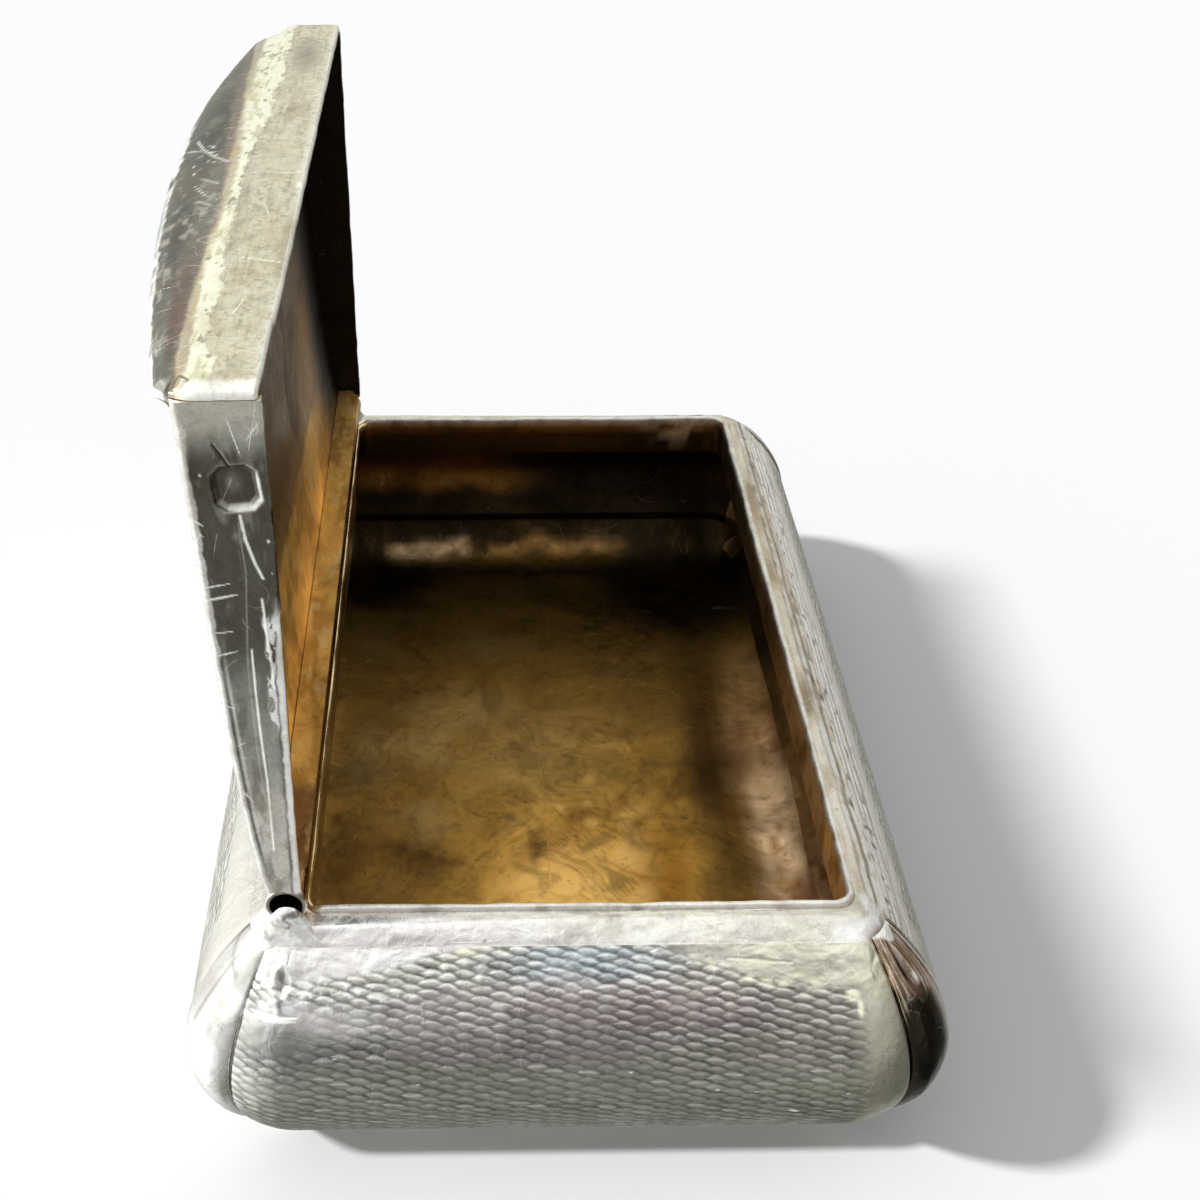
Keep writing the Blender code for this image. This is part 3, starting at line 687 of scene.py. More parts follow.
def panel_tint(U, V, Z, mask, E):
    tint = flat_tint(U.shape, (0.72, 0.72, 0.67))
    tint = lerp(tint, (0.60, 0.57, 0.55), step(0.0, 0.7, fbm(U / 9.0, Z / 4.0, 71, 3)) * 0.8)
    tint = lerp(tint, (0.92, 0.91, 0.84), 1 - np.clip(mask, 0, 1))
    return tint


def far_inside(U, V, Z, seed):
    tint = flat_tint(U.shape, (0.26, 0.125, 0.022))
    # darker in random patches and, as painted shade, over the half towards the front side
    dark = np.clip(0.5 * step(-0.05, 0.45, fbm(U / 8.0, Z / 5.0, seed)) + step(6.0, -6.0, U), 0, 1)
    tint = lerp(tint, (0.045, 0.028, 0.012), dark * 0.92)
    # a faint painted reflection along the cove
    painted_shine = blob(U, Z, -2.0, 4.4, 10.0, 1.1, 0.7) + blob(U, Z, 9.5, 4.4, 5.0, 1.1, 0.7)
    painted_shine = np.clip(painted_shine, 0, 1) * np.clip(0.65 + 0.6 * fbm(U / 2.0, Z / 1.0, seed + 5, 3), 0, 1)
    tint = lerp(tint, (0.34, 0.19, 0.05), painted_shine * 0.25)
    # painted shade: near black in a broad patch and low down
    tint = lerp(tint, (0.015, 0.01, 0.004), blob(U, Z, -8.0, 8.5, 12.0, 7.0, 0.7) * 0.95)
    return lerp(tint, (0.020, 0.012, 0.004), step(7.6, 5.6, Z + 0.8 * fbm(U / 3.0, Z / 3.0, seed + 9, 3)) * 0.96)


def front_inside(U, V, Z, seed):
    tint = flat_tint(U.shape, (0.50, 0.30, 0.105))
    # bright towards the near end: painted reflection
    tint = lerp(tint, (1.0, 0.80, 0.56), step(-4.0, -22.0, U + 2.0 * fbm(U / 3.0, Z / 3.0, seed + 7, 2)))
    tint = lerp(tint, (0.50, 0.27, 0.16), step(-0.1, 0.35, fbm(U / 1.1 + 0.3 * Z, Z / 2.4, seed + 9, 4)) * 0.55)
    streak = fbm(U / 2.2 + 0.2 * Z, Z / 1.0, seed, 4)
    tint = lerp(tint, (0.80, 0.56, 0.30), step(0.1, 0.5, streak) * step(4.0, -6.0, U))
    tint = lerp(tint, (0.24, 0.13, 0.035), step(0.08, 0.45, -streak) * 0.75)
    # near black towards the far end: painted shade
    tint = lerp(tint, (0.05, 0.03, 0.01), step(-2.0, 16.0, U) * 0.95)
    return tint


nf, ff, fb, nb = (CENTRES[k][:2] for k in ("nf", "ff", "fb", "nb"))
build_panel("near_end_panel", "base_near_end_panel", nb, nf, -90.0, SEAM, 266, BULGE_Y,
            near_mask, near_tint, 100, skew=0.034, dents=near_dents,
            soft=lambda U, Z: 1 - 0.85 * step(0.0, -1.0, U) * step(12.6, 13.8, Z), rows=288)
build_panel("far_end_panel", "base_far_end_panel", ff, fb, 90.0, SEAM, 190, BULGE_Y,
            plain_border(15.1, 17.2), panel_tint, 130, inside=far_inside, rows=205, n_turn=20)
SIDE_TURN = 90.0 - 76.0 - 0.4


def flutes(along, down):
    """Long wavering ridges that run beside the rim, -1 to 1."""
    lean = 0.22 * fbm(along / 7.0, 0 * along, 95, 3)
    wave = np.sin(2 * math.pi * (down + lean) / 0.62 + 1.5 * fbm(along / 5.0, down / 0.7, 96, 3))
    return wave * np.clip(0.55 + 0.9 * fbm(along / 3.2, down / 0.45, 97, 3), 0.05, 1)


def front_tint(U, V, Z, mask, E):
    tint = panel_tint(U, V, Z, mask, E)
    top = step(14.0, 15.2, Z)
    # painted light and shade: a painted highlight over the top band, painted shade below it, and on the flutes painted
    # highlights on the ridges and painted shade in the hollows
    tint = lerp(tint, (0.98, 0.965, 0.90, 0.25), top)
    wave = flutes(U, V)
    tint = lerp(tint, (0.52, 0.53, 0.46, 0.0), step(14.6, 12.6, Z) * 0.75)
    tint = lerp(tint, (0.46, 0.44, 0.40, 0.0), top * step(0.15, 0.8, -wave) * 0.85)
    tint = lerp(tint, (1.0, 0.99, 0.93, 0.5), top * step(0.3, 0.8, wave) * 0.8)
    pits = step(0.28, 0.5, fbm(U / 0.7, V / 0.30, 91, 3)) * step(15.0, 15.8, Z)
    tint = lerp(tint, (0.16, 0.15, 0.12, 0.0), pits * 0.85)
    line = np.clip(1 - np.abs(Z - 15.15 - 0.2 * vnoise(U / 6.0, 0.5, 92)) / 0.10, 0, 1)
    return lerp(tint, (0.20, 0.19, 0.16, 0.0), line * 0.8)


def front_dents(U, V, Z):
    top = step(14.0, 15.2, Z)
    d = 0.035 * top * flutes(U, V)
    d = d - 0.06 * step(0.30, 0.55, fbm(U / 0.7, V / 0.30, 91, 3)) * step(15.0, 15.8, Z)
    return d - 0.08 * np.clip(1 - np.abs(Z - 15.15 - 0.2 * vnoise(U / 6.0, 0.5, 92)) / 0.12, 0, 1)


build_panel("front_panel", "base_front_panel", nf, ff, 0.0, SIDE_TURN, 300, BULGE_X,
            plain_border(14.0, 27.6), front_tint, 160, rows=195, n_turn=6, inside=front_inside,
            dents=front_dents)
build_panel("hinge_side_panel", "base_hinge_side_panel", fb, nb, 180.0, SIDE_TURN, 300, BULGE_X,
            plain_border(13.6, 26.0), panel_tint, 190, rows=195, n_turn=6)


def build_lobe(name, node, key, end_first, tint_fn, seed, marked=False):
    cx, cy, start = CENTRES[key]
    z, v = level_rows(170, BULGE_Y)
    f = np.linspace(0, 1, 90)
    F, V = np.meshgrid(f, v)
    Z = np.repeat(z[:, None], len(f), 1)
    lo, hi = SEAM + 0.35, 76.0
    a = lo + (hi - lo) * F
    ang = start + (a if end_first else 90.0 - a)
    t = np.clip((Z - WALL_Z0) / (WALL_Z1 - WALL_Z0), 0, 1)
    full = swell(t)
    body = np.sin(math.pi * F) ** 0.62 * full ** 0.42
    groove = {"nb": 1 - 0.9 * step(12.6, 13.8, Z), "nf": 1 - 0.75 * step(12.8, 14.6, Z)}.get(key, 1.0)
    rise = 0.60 * body - 0.34 * np.clip(1 - F * 5.0, 0, 1) * full ** 0.7 * groove
    if marked:
        rise = rise + 0.16 * np.exp(-((F - 0.80) / 0.035) ** 2) * full ** 0.4 * step(11.0, 13.5, Z)
        rise = rise - 0.34 * blob(F, Z, 0.33, 15.0, 0.10, 1.15, 0.9)
        rise = rise + 0.12 * blob(F, Z, 0.46, 14.4, 0.07, 0.8, 0.9)
        for f0, deep in ((0.055, 0.09), (0.105, 0.07), (0.15, 0.05)):
            rise = rise - deep * np.exp(-((F - f0 - 0.008 * (14 - Z)) / 0.012) ** 2) * step(12.3, 13.2, Z) * step(16.3, 15.7, Z)
    else:
        rise = rise + 0.05 * np.exp(-((F - 0.93) / 0.045) ** 2) * full ** 0.5
    P = skin(cx, cy, ang, Z, rise)
    N = normals(P)
    if np.sum(N * (P - np.array([cx, cy, H / 2]))) < 0:
        N = -N
    d = 0.04 * fbm(F * 4, V / 3.0, seed, 2)
    d = d + edge_round(np.minimum(F, 1 - F) * 5.0, 0.28) * np.where(F < 0.5, groove, 1.0) + edge_round(V - V.min(), 0.3)
    out = P + N * d[..., None]
    # inside, the lobe laps over the panels' edges
    a = lo - 1.8 + (hi - lo + 3.6) * F
    base = skin(cx, cy, start + (a if end_first else 90.0 - a), Z)
    nb_ = normals(base)
    if np.sum(nb_ * (base - np.array([cx, cy, H / 2]))) < 0:
        nb_ = -nb_
    fillet = (0.33 + 0.52 * np.sin(np.radians(ang)) ** 2) * step(3.2, 4.1, Z) * step(9.5, 4.5, Z)
    inn = base - nb_ * (WALL_T + 0.05 + fillet)[..., None]
    return shell(name, out, inn, "base", node, [SILVER, GILT],
                 tint_fn(F, V, Z, seed), gilt_wall(F * 6, V, Z, seed), 0.20, 0.45)


def lobe_plain(F, V, Z, seed):
    tint = flat_tint(F.shape, (0.88, 0.87, 0.82))
    return lerp(tint, (0.62, 0.60, 0.55), step(0.1, 0.7, fbm(F * 5, V / 4.0, seed, 3)) * 0.7)


def lobe_near_front(F, V, Z, seed):
    tint = flat_tint(F.shape, (0.62, 0.49, 0.38))
    swirl = fbm(F * 5 + 0.9 * vnoise(Z / 1.0, F * 4.4, seed), Z / 1.1 + 0.9 * vnoise(F * 6, Z / 1.3, seed + 1),
                seed + 2, 4)
    tint = lerp(tint, (0.30, 0.21, 0.15), step(0.02, 0.30, swirl) * 0.8)
    tint = lerp(tint, (0.90, 0.76, 0.64, 0.2), step(0.10, 0.34, -swirl) * 0.9)
    tint = lerp(tint, (0.70, 0.48, 0.44, 0.1), blob(F, Z, 0.62, 13.7, 0.14, 0.9, 0.9) * 0.8)
    # a loop of worn lines round the hollow
    for rx, rz, w in ((0.13, 1.45, 0.10), (0.20, 1.9, 0.06), (0.27, 2.2, 0.05)):
        ring_ = np.exp(-(((np.hypot((F - 0.37 - 0.02 * (15 - Z)) / rx, (Z - 14.9) / rz)) - 1.0) / w) ** 2)
        tint = lerp(tint, (0.32, 0.23, 0.16, 0.0), ring_ * 0.75)
    for rx, rz, w in ((0.165, 1.66, 0.06), (0.235, 2.05, 0.05)):
        ring_ = np.exp(-(((np.hypot((F - 0.37 - 0.02 * (15 - Z)) / rx, (Z - 14.9) / rz)) - 1.0) / w) ** 2)
        tint = lerp(tint, (0.97, 0.88, 0.76, 0.35), ring_ * 0.7 * np.clip(0.7 + swirl, 0, 1))
    # painted shade in the hollow
    hollow_shade = blob(F, Z, 0.32, 15.0, 0.075, 1.1, 0.9)
    tint = lerp(tint, (0.045, 0.035, 0.025, 0.0), hollow_shade * 0.92)
    # painted highlights on the bump beside the hollow
    painted_shine = blob(F, Z, 0.43, 14.5, 0.05, 0.45, 0.9) + 0.7 * blob(F, Z, 0.52, 14.15, 0.045, 0.35, 0.9)
    painted_shine = painted_shine * step(-0.35, 0.1, fbm(F * 22, Z / 0.5, seed + 5, 3) + 0.1)
    tint = lerp(tint, (0.95, 0.94, 0.90, 0.6), np.clip(painted_shine, 0, 1) * 0.9)
    # painted shade over the lower part of the lobe, greenish to the right and darker towards the bottom
    low = step(14.1, 13.2, Z + 0.6 * swirl + 1.4 * (F - 0.42))
    tint = lerp(tint, (0.045, 0.042, 0.030, 0.0), low * 0.96)
    tint = lerp(tint, (0.30, 0.31, 0.24, 0.0), low * step(0.46, 0.72, F) * 0.8)
    tint = lerp(tint, (0.22, 0.23, 0.17, 0.0), step(9.0, 3.0, Z) * 0.8)
    seams = np.zeros(F.shape)
    for k, (f0, w, far_) in enumerate(((0.028, 0.010, 0.9), (0.085, 0.016, 1.0), (0.150, 0.010, 0.7))):
        bend = f0 + 0.013 * (14 - Z) + 0.014 * vnoise(Z / 1.3, 0 * Z + k, seed + 11)
        seams = seams + far_ * np.exp(-((F - bend) / w) ** 2) * step(12.2 + 0.5 * k, 13.3 + 0.4 * k, Z)
    tint = lerp(tint, (0.92, 0.76, 0.50, 0.35), np.clip(seams, 0, 1) * step(16.2, 15.6, Z) * 0.9)
    # painted highlight along the ridge, and painted shade just beyond it
    edge = np.exp(-((F - 0.80) / 0.026) ** 2) * step(11.5, 13.2, Z)
    tint = lerp(tint, (1.0, 0.96, 0.90, 0.7), edge)
    tint = lerp(tint, (0.09, 0.08, 0.06, 0.0), np.exp(-((F - 0.90) / 0.05) ** 2) * step(12.6, 14.2, Z) * 0.9)
    tint = lerp(tint, (0.82, 0.76, 0.66, 0.50), step(0.50, 0.80, F) * step(14.8, 12.6, Z) * step(4.5, 8.0, Z) * 0.70)
    # painted highlight along the crest
    crest_highlight_z = 16.52 - 0.42 * np.exp(-((F - 0.50) / 0.20) ** 2) + 0.07 * swirl
    return lerp(tint, (1.0, 1.0, 0.96, 0.6), step(-0.05, 0.06, Z - crest_highlight_z) * step(0.92, 0.80, F))


def lobe_near_hinge(F, V, Z, seed):
    tint = flat_tint(F.shape, (0.90, 0.895, 0.87, 0.30))
    swirl = fbm(F * 3 + 0.7 * vnoise(V / 3.0, F * 3, seed), V / 3.4, seed, 3)
    tint = lerp(tint, (0.52, 0.53, 0.50, 0.05), step(0.0, 0.40, swirl) * 0.6)
    tint = lerp(tint, (0.60, 0.60, 0.58, 0.08), step(0.60, 0.72, F + 0.02 * (Z - 13)) * step(10.0, 12.0, Z) * 0.55)
    tint = lerp(tint, (0.42, 0.42, 0.39, 0.0), np.exp(-((F - 0.60 - 0.03 * (13 - Z)) / 0.03) ** 2) * step(9.0, 12.0, Z) * 0.7)
    # painted highlights: a bright band down the middle of the lobe and over its lower part
    tint = lerp(tint, (1.0, 1.0, 0.97, 0.85), np.exp(-((F - 0.52 + 0.012 * (Z - 8)) / 0.06) ** 2))
    tint = lerp(tint, (1.0, 1.0, 0.98, 0.95), step(12.5, 10.5, Z) * step(0.06, 0.2, F) * step(0.98, 0.75, F) * 0.9)
    tint = lerp(tint, (0.50, 0.50, 0.47, 0.0), np.exp(-((F - 0.22) / 0.05) ** 2) * step(6.5, 4.0, Z) * 0.6)
    tint = lerp(tint, (0.35, 0.35, 0.32, 0.0), step(0.05, 0.015, F) * 0.8 * step(13.6, 12.8, Z))
    crest = np.exp(-((Z - 15.3 - 1.6 * (F - 0.5)) / 0.16) ** 2)
    tint = lerp(tint, (0.46, 0.46, 0.43, 0.0), crest * step(0.15, 0.35, F) * 0.75)
    return lerp(tint, (0.70, 0.70, 0.67, 0.15), step(3.0, 1.6, Z) * 0.7)


build_lobe("corner_near_front", "corner_lobe_near_front", "nf", True, lobe_near_front, 210, marked=True)
build_lobe("corner_far_front", "corner_lobe_far_front", "ff", False, lobe_plain, 220)
build_lobe("corner_far_hinge", "corner_lobe_far_hinge", "fb", True, lobe_plain, 230)
build_lobe("corner_near_hinge", "corner_lobe_near_hinge", "nb", False, lobe_near_hinge, 240)


# -------------------------------------------------------------- rounded outlines
def outline(x0, x1, y0, y1, r, n_corner=14, n_x=90, n_y=150):
    """A rounded rectangle, counter-clockwise from its near front corner, with the
    same number of points whatever its size."""
    pts, n_list = [], []
    corners = ((x1 - r, y0 + r, -90), (x1 - r, y1 - r, 0), (x0 + r, y1 - r, 90), (x0 + r, y0 + r, 180))
    for k, (cx, cy, start) in enumerate(corners):
        a = np.radians(start + np.linspace(0, 90, n_corner))
        pts.append(np.stack([cx + r * np.cos(a), cy + r * np.sin(a)], -1))
        n_list.append(np.stack([np.cos(a), np.sin(a)], -1))
        nx, ny, ns = corners[(k + 1) % 4]
        s, e = pts[-1][-1], np.array([nx + r * math.cos(math.radians(ns)), ny + r * math.sin(math.radians(ns))])
        m = n_y if k in (0, 2) else n_x
        f = np.linspace(0, 1, m + 2)[1:-1, None]
        pts.append(s + (e - s) * f)
        n_list.append(np.repeat(n_list[-1][-1:], m, 0))
    return np.concatenate(pts), np.concatenate(n_list)


# ---------------------------------------------------------------- mouth ledge
lip = MOUTH_X + 0.45, MOUTH_Y + 0.45
led_in, led_n = outline(-lip[0] + 0.02, lip[0] - 0.02, -lip[1] + 0.02, lip[1] - 0.02, 1.35)
led_out, _ = outline(RIM_XL, RIM_XR, -RIM_Y, RIM_Y, RIM_R)
gap = led_out - led_in
width = np.linalg.norm(gap, axis=1)
unit = gap / width[:, None]
s = np.arange(len(led_in)) * 0.4
loops, tints, roughs = [], [], []
fall = 1.30


def ledge_z(dist):
    q = np.clip(1 - dist / fall, 0, 1)
    return H - 0.92 * q ** 1.25


def rim_distance(x, y):
    """Distance from the outline of the mouth's rim, negative inside it."""
    qx = np.abs(x - (RIM_XL + RIM_XR) / 2) - ((RIM_XR - RIM_XL) / 2 - RIM_R)
    qy = np.abs(y) - (RIM_Y - RIM_R)
    return np.hypot(np.maximum(qx, 0), np.maximum(qy, 0)) + np.minimum(np.maximum(qx, qy), 0) - RIM_R


def top_of_base(x, y):
    """Height of the ledge, or outside it of the shoulder of the walls."""
    sd = rim_distance(x, y)
    return np.where(sd < 0, ledge_z(np.maximum(-sd, 0)), H - 0.92 - 0.86 * np.maximum(sd, 0))


inward = [0.0, 0.04, 0.10, 0.17, 0.25, 0.34, 0.44, 0.55, 0.67, 0.8, 0.94, 1.08, 1.22, 1.36, 1.5]
nick = 0.05 * fbm(s / 1.7, 0 * s, 301, 3)
side_front = step(0.9, 1.0, led_n[:, 0])
side_near = step(0.9, 1.0, -led_n[:, 1])
near_left = side_near * step(-6.0, -15.0, led_out[:, 0])
for q in inward:
    dist = np.minimum(q, width - 0.05)
    p = led_out - unit * (dist - (0.012 if q == 0.0 else 0.0))[:, None]
    z = ledge_z(dist) + (nick * (0.25 + 0.75 * (dist < 0.9)) + 0.03 * fbm(s / 0.6, 0 * s + q * 3, 303, 2)) * step(0.0, 0.4, dist)
    z = z + 0.075 * side_front * np.sin(2 * math.pi * (dist + 0.30 * fbm(s / 5.0, 0 * s, 305, 3) + 0.05) / 0.66) * step(0.0, 0.25, dist) * step(1.25, 1.0, dist)
    z = z + (0.03 + 0.05 * near_left) * fbm(s / 1.1, 0 * s + q * 1.6, 306, 3) * step(0.0, 0.4, dist)
    loops.append(np.concatenate([p, z[:, None]], 1))
for q in (0.8, 0.6, 0.4, 0.2, 0.08, 0.0):
    dist = width - np.minimum(width - 1.5, width) * q
    p = led_out - unit * dist[:, None]
    z = H + 0 * s + 0.025 * fbm(s / 1.6, 0 * s + q * 5, 307, 2) - (0.06 if q == 0.0 else 0.0)
    loops.append(np.concatenate([p, z[:, None]], 1))
loops.append(np.concatenate([led_in, 0 * s[:, None] + H - 0.8], 1))
loops.append(np.concatenate([led_out, 0 * s[:, None] + WALL_Z1 - 0.06], 1))
loops = np.array(loops)
X, Y = loops[..., 0], loops[..., 1]
led_t = flat_tint(X.shape, (0.93, 0.92, 0.86, 0.1))
near_side = step(-28.4, -29.2, Y)
cloud = fbm(X / 2.2 + 0.8 * vnoise(Y, X / 1.5, 321), Y / 0.9, 322, 4)
led_t = lerp(led_t, (1.0, 0.985, 0.98, 0.35), near_side * step(4.0, -8.0, X))
led_t = lerp(led_t, (0.92, 0.91, 0.80, 0.18), near_side * step(0.0, 12.0, X))
led_t = lerp(led_t, (0.70, 0.66, 0.66, 0.0), near_side * step(0.05, 0.45, cloud) * 0.55)
led_t = lerp(led_t, (1.0, 1.0, 0.99, 0.6), near_side * step(0.15, 0.5, -cloud) * 0.6)
led_t = lerp(led_t, (0.62, 0.68, 0.74, 0.0), blob(X, Y, -12.6, -29.7, 3.4, 0.55, 0.8) * 0.8)
# a thin painted shadow line beside the bezel lip
led_t = lerp(led_t, (0.55, 0.54, 0.52, 0.0), step(-29.42, -29.36, Y) * step(-29.18, -29.24, Y) * (np.abs(X) < 16.4)
             * step(-0.1, 0.3, fbm(X / 3.0, Y, 328, 2)) * 0.6)
stripes = flutes(Y, X * 1.1)
front_side = step(16.6, 16.8, X)
wide = fbm(X / 0.9, Y / 5.0, 329, 3)
Xw = X + 0.14 * fbm(Y / 4.0, 0 * Y, 331, 3)
led_t = lerp(led_t, (0.66, 0.58, 0.49, 0.05), front_side * 0.9)
led_t = lerp(led_t, (0.34, 0.28, 0.21, 0.0), front_side * step(17.40, 17.2, Xw) * step(-0.05, 0.35, wide) * 0.9)
led_t = lerp(led_t, (0.97, 0.94, 0.86, 0.5), front_side * step(17.40, 17.2, Xw) * step(0.12, 0.40, -wide))
# painted highlights: two bright stripes along the front side
ridge_a_highlight = step(17.42, 17.52, Xw) * step(17.86, 17.76, Xw)
ridge_b_highlight = step(18.06, 18.16, Xw)
led_t = lerp(led_t, (1.0, 0.99, 0.93, 0.85), ridge_a_highlight * step(-0.35, 0.1, fbm(Y / 2.2, X / 0.6, 333, 3)))
led_t = lerp(led_t, (0.42, 0.38, 0.31, 0.0), step(17.80, 17.88, Xw) * step(18.14, 18.06, Xw) * 0.9)
led_t = lerp(led_t, (0.98, 0.96, 0.88, 0.7), ridge_b_highlight * step(-0.3, 0.2, fbm(Y / 1.6, X / 0.5, 335, 3)))
pit = step(0.22, 0.42, fbm(X / 0.35 + 40, Y / 1.1, 311, 3)) * step(17.3, 17.6, X)
led_t = lerp(led_t, (0.14, 0.12, 0.09, 0.0), pit * 0.9)
led_t = lerp(led_t, (0.50, 0.42, 0.31, 0.0), front_side * step(-10.0, 2.0, Y) * step(26.0, 16.0, Y) * 0.45)
dark_line = np.clip(1 - np.abs(Xw - 17.40) / 0.09, 0, 1) * (np.abs(Y) < 28.6)
led_t = lerp(led_t, (0.16, 0.14, 0.11, 0.0), dark_line * np.clip(0.6 + fbm(Y / 4.0, X, 326, 2), 0, 1))
# painted highlight along the crest by the near front corner
crest = polyline(X, Y, [(15.2, -30.75), (16.6, -30.35), (17.6, -29.6), (17.2, -28.4)], 0.55)
crest = np.maximum(crest, polyline(X, Y, [(17.6, -29.6), (18.3, -28.2), (18.35, -26.5)], 0.28))
led_t = lerp(led_t, (0.52, 0.48, 0.42, 0.0), blob(X, Y, 17.1, -29.2, 1.4, 1.4, 0.8) * 0.7)
led_t = lerp(led_t, (1.0, 1.0, 0.96, 0.85), np.clip(crest * 1.8, 0, 1))
smear = blob(X, Y, 15.0, 30.0, 4.6, 1.5, 0.8)
led_t = lerp(led_t, (0.12, 0.12, 0.10, 0.0), smear * step(0.0, 0.3, fbm(X / 1.1, Y / 0.7, 327, 3)) * 0.9)
led_t = lerp(led_t, (1.0, 1.0, 0.95, 0.8), smear * step(0.12, 0.4, -fbm(X / 1.1, Y / 0.7, 327, 3)))
loops_mesh("mouth_ledge_visual", loops, "base", "mouth_ledge", [SILVER], led_t, 0.24)

# ---------------------------------------------------------------- mouth bezel
bez_in, bez_n = outline(-MOUTH_X, MOUTH_X, -MOUTH_Y, MOUTH_Y, 1.0)
bez_out, _ = outline(-lip[0], lip[0], -lip[1], lip[1], 1.35)
s = np.arange(len(bez_in)) * 0.4
wob = 0.10 * fbm(s / 3.0, 0 * s, 331, 3)
hinge_side = step(-15.3, -15.9, bez_in[:, 0])
top = H + 0.35 * (1 - hinge_side) + 0.05 * fbm(s / 2.2, 0 * s, 333, 3)
sections = [(0.0, -3.2, "abs"), (0.0, -2.2, "abs"), (0.0, -1.3, "abs"), (0.0, -0.6, "abs"),
            (0.0, -0.22, "top"), (0.05, -0.08, "top"), (0.14, -0.01, "top"), (0.25, 0.0, "top"),
            (0.36, -0.05, "top"), (0.43, -0.16, "top"), (0.45, -0.5, "abs"), (0.45, -3.2, "abs")]
loops = []
for off, dz, mode in sections:
    w = off / 0.45
    p = bez_in * (1 - w) + bez_out * w
    up = step(-2.4, -0.4, np.full(len(s), dz)) if mode == "abs" else np.ones(len(s))
    p = p + bez_n * (wob * up * (1 - w * 0.9))[:, None] * 0.9
    z = (H + dz) * np.ones(len(s)) if mode == "abs" else top + dz
    if mode == "abs":
        z = np.minimum(z, top - 0.24)
    loops.append(np.concatenate([p, z[:, None]], 1))
loops = np.array(loops)
X, Y, Zb = loops[..., 0], loops[..., 1], loops[..., 2]
t_b = flat_tint(X.shape, (0.34, 0.19, 0.045))
# the far side below the top painted near black: painted shade
t_b = lerp(t_b, (0.03, 0.018, 0.006), step(H - 0.7, H - 1.5, Zb) * (Y > 20) * 0.95)
# the front side painted lighter, bright towards the near end: painted reflection
t_b = lerp(t_b, (0.62, 0.40, 0.20), step(15.6, 16.0, X) * np.clip(0.7 + 0.6 * fbm(Y / 2.5, Zb / 2, 343, 3), 0, 1))
t_b = lerp(t_b, (1.0, 0.76, 0.50), step(15.6, 16.0, X) * step(2.0, -14.0, Y) * step(-0.4, 0.1, fbm(Y / 1.4, Zb / 1.5, 344, 3)))
t_b = lerp(t_b, (0.10, 0.065, 0.03), step(0.0, 0.5, fbm(X / 6, Y / 6 + Zb, 341, 3)) * 0.8 * (1 - step(15.6, 16.0, X) * step(4.0, -8.0, Y)))
# darker towards the far end of the front side: painted shade
t_b = lerp(t_b, (0.10, 0.065, 0.03), step(15.6, 16.0, X) * step(4.0, 20.0, Y) * 0.8)
smear = blob(X, Zb, 12.5, H - 0.9, 4.6, 1.6, 0.6) * step(28.3, 28.6, Y)
t_b = lerp(t_b, (0.72, 0.69, 0.55), smear * step(-0.15, 0.25, fbm(X / 1.4, Zb / 0.8, 345, 3)))
lip_top = step(H - 0.05, H + 0.10, Zb)
t_b = lerp(t_b, (0.99, 0.98, 0.93, 0.45), lip_top)
t_b = lerp(t_b, (0.62, 0.60, 0.55, 0.0), lip_top * step(0.15, 0.5, fbm(X / 1.1, Y / 1.1, 347, 3)) * 0.7)
t_b = lerp(t_b, (0.98, 0.80, 0.45), step(-15.3, -15.9, X) * step(H - 0.6, H - 0.2, Zb))
bez_index = np.array([1, 1, 1, 1, 0, 0, 0, 0, 0, 0, 0, 1])
loops_mesh("mouth_bezel_visual", loops, "base", "mouth_bezel", [SILVER, GILT], t_b, 0.34,
           index=bez_index)

# ---------------------------------------------------------------- bottom plate
foot = (RIM_XL + FOOT, RIM_XR - FOOT, -RIM_Y + FOOT, RIM_Y - FOOT)
FR = RIM_R - FOOT


def plate_loop(e, z, wiggle=0.0):
    r = max(FR - e, min(0.25, 0.9 * (19.0 - e)))
    p, n_ = outline(foot[0] + e, foot[1] - e, foot[2] + e, foot[3] - e, r, 12, 100, 190)
    if wiggle:
        z = z + wiggle * fbm(p[:, 0] / 6.0, p[:, 1] / 6.0, 401, 3)
    return np.concatenate([p, np.ones((len(p), 1)) * np.reshape(z, (-1, 1))], 1)


loops, kinds = [], []
for e, z in ((17.9, 0.03), (12.0, 0.02), (6.0, 0.01), (1.2, 0.0), (0.45, 0.0), (0.2, 0.05), (0.05, 0.18)):
    loops.append(plate_loop(e, z)); kinds.append(0)
for e, z in ((0.0, 0.4), (0.0, 0.84)):
    loops.append(plate_loop(e, z)); kinds.append(0)
# inside, the floor rises in a cove that runs up into the walls
for e, z in ((-0.10, 1.35), (-0.70, 2.2), (-1.25, 3.1), (-1.75, 4.0), (-1.95, 4.45)):
    loops.append(plate_loop(e, z)); kinds.append(0 if z < 3.0 else 1)
cove_e = [-1.98, -1.6, -1.15, -0.7, -0.25, 0.2, 0.7, 1.2, 1.8, 2.5, 3.3, 4.2, 5.2, 6.3, 7.4]
cove_z = [4.40, 3.85, 3.27, 2.78, 2.36, 2.02, 1.72, 1.50, 1.31, 1.17, 1.08, 1.02, 0.98, 0.96, 0.95]
for e, z in zip(cove_e, cove_z):
    loops.append(plate_loop(e, z, 0.02 + 0.006 * max(e, 0))); kinds.append(1)
for e in np.linspace(7.8, 18.93, 36):
    loops.append(plate_loop(e, 0.95, 0.07)); kinds.append(1)
loops = np.array(loops)
X, Y, Zp = loops[..., 0], loops[..., 1], loops[..., 2]
warp = fbm(X / 5.0, Y / 5.0, 415, 3)
t_p = flat_tint(X.shape, (0.31, 0.175, 0.034))
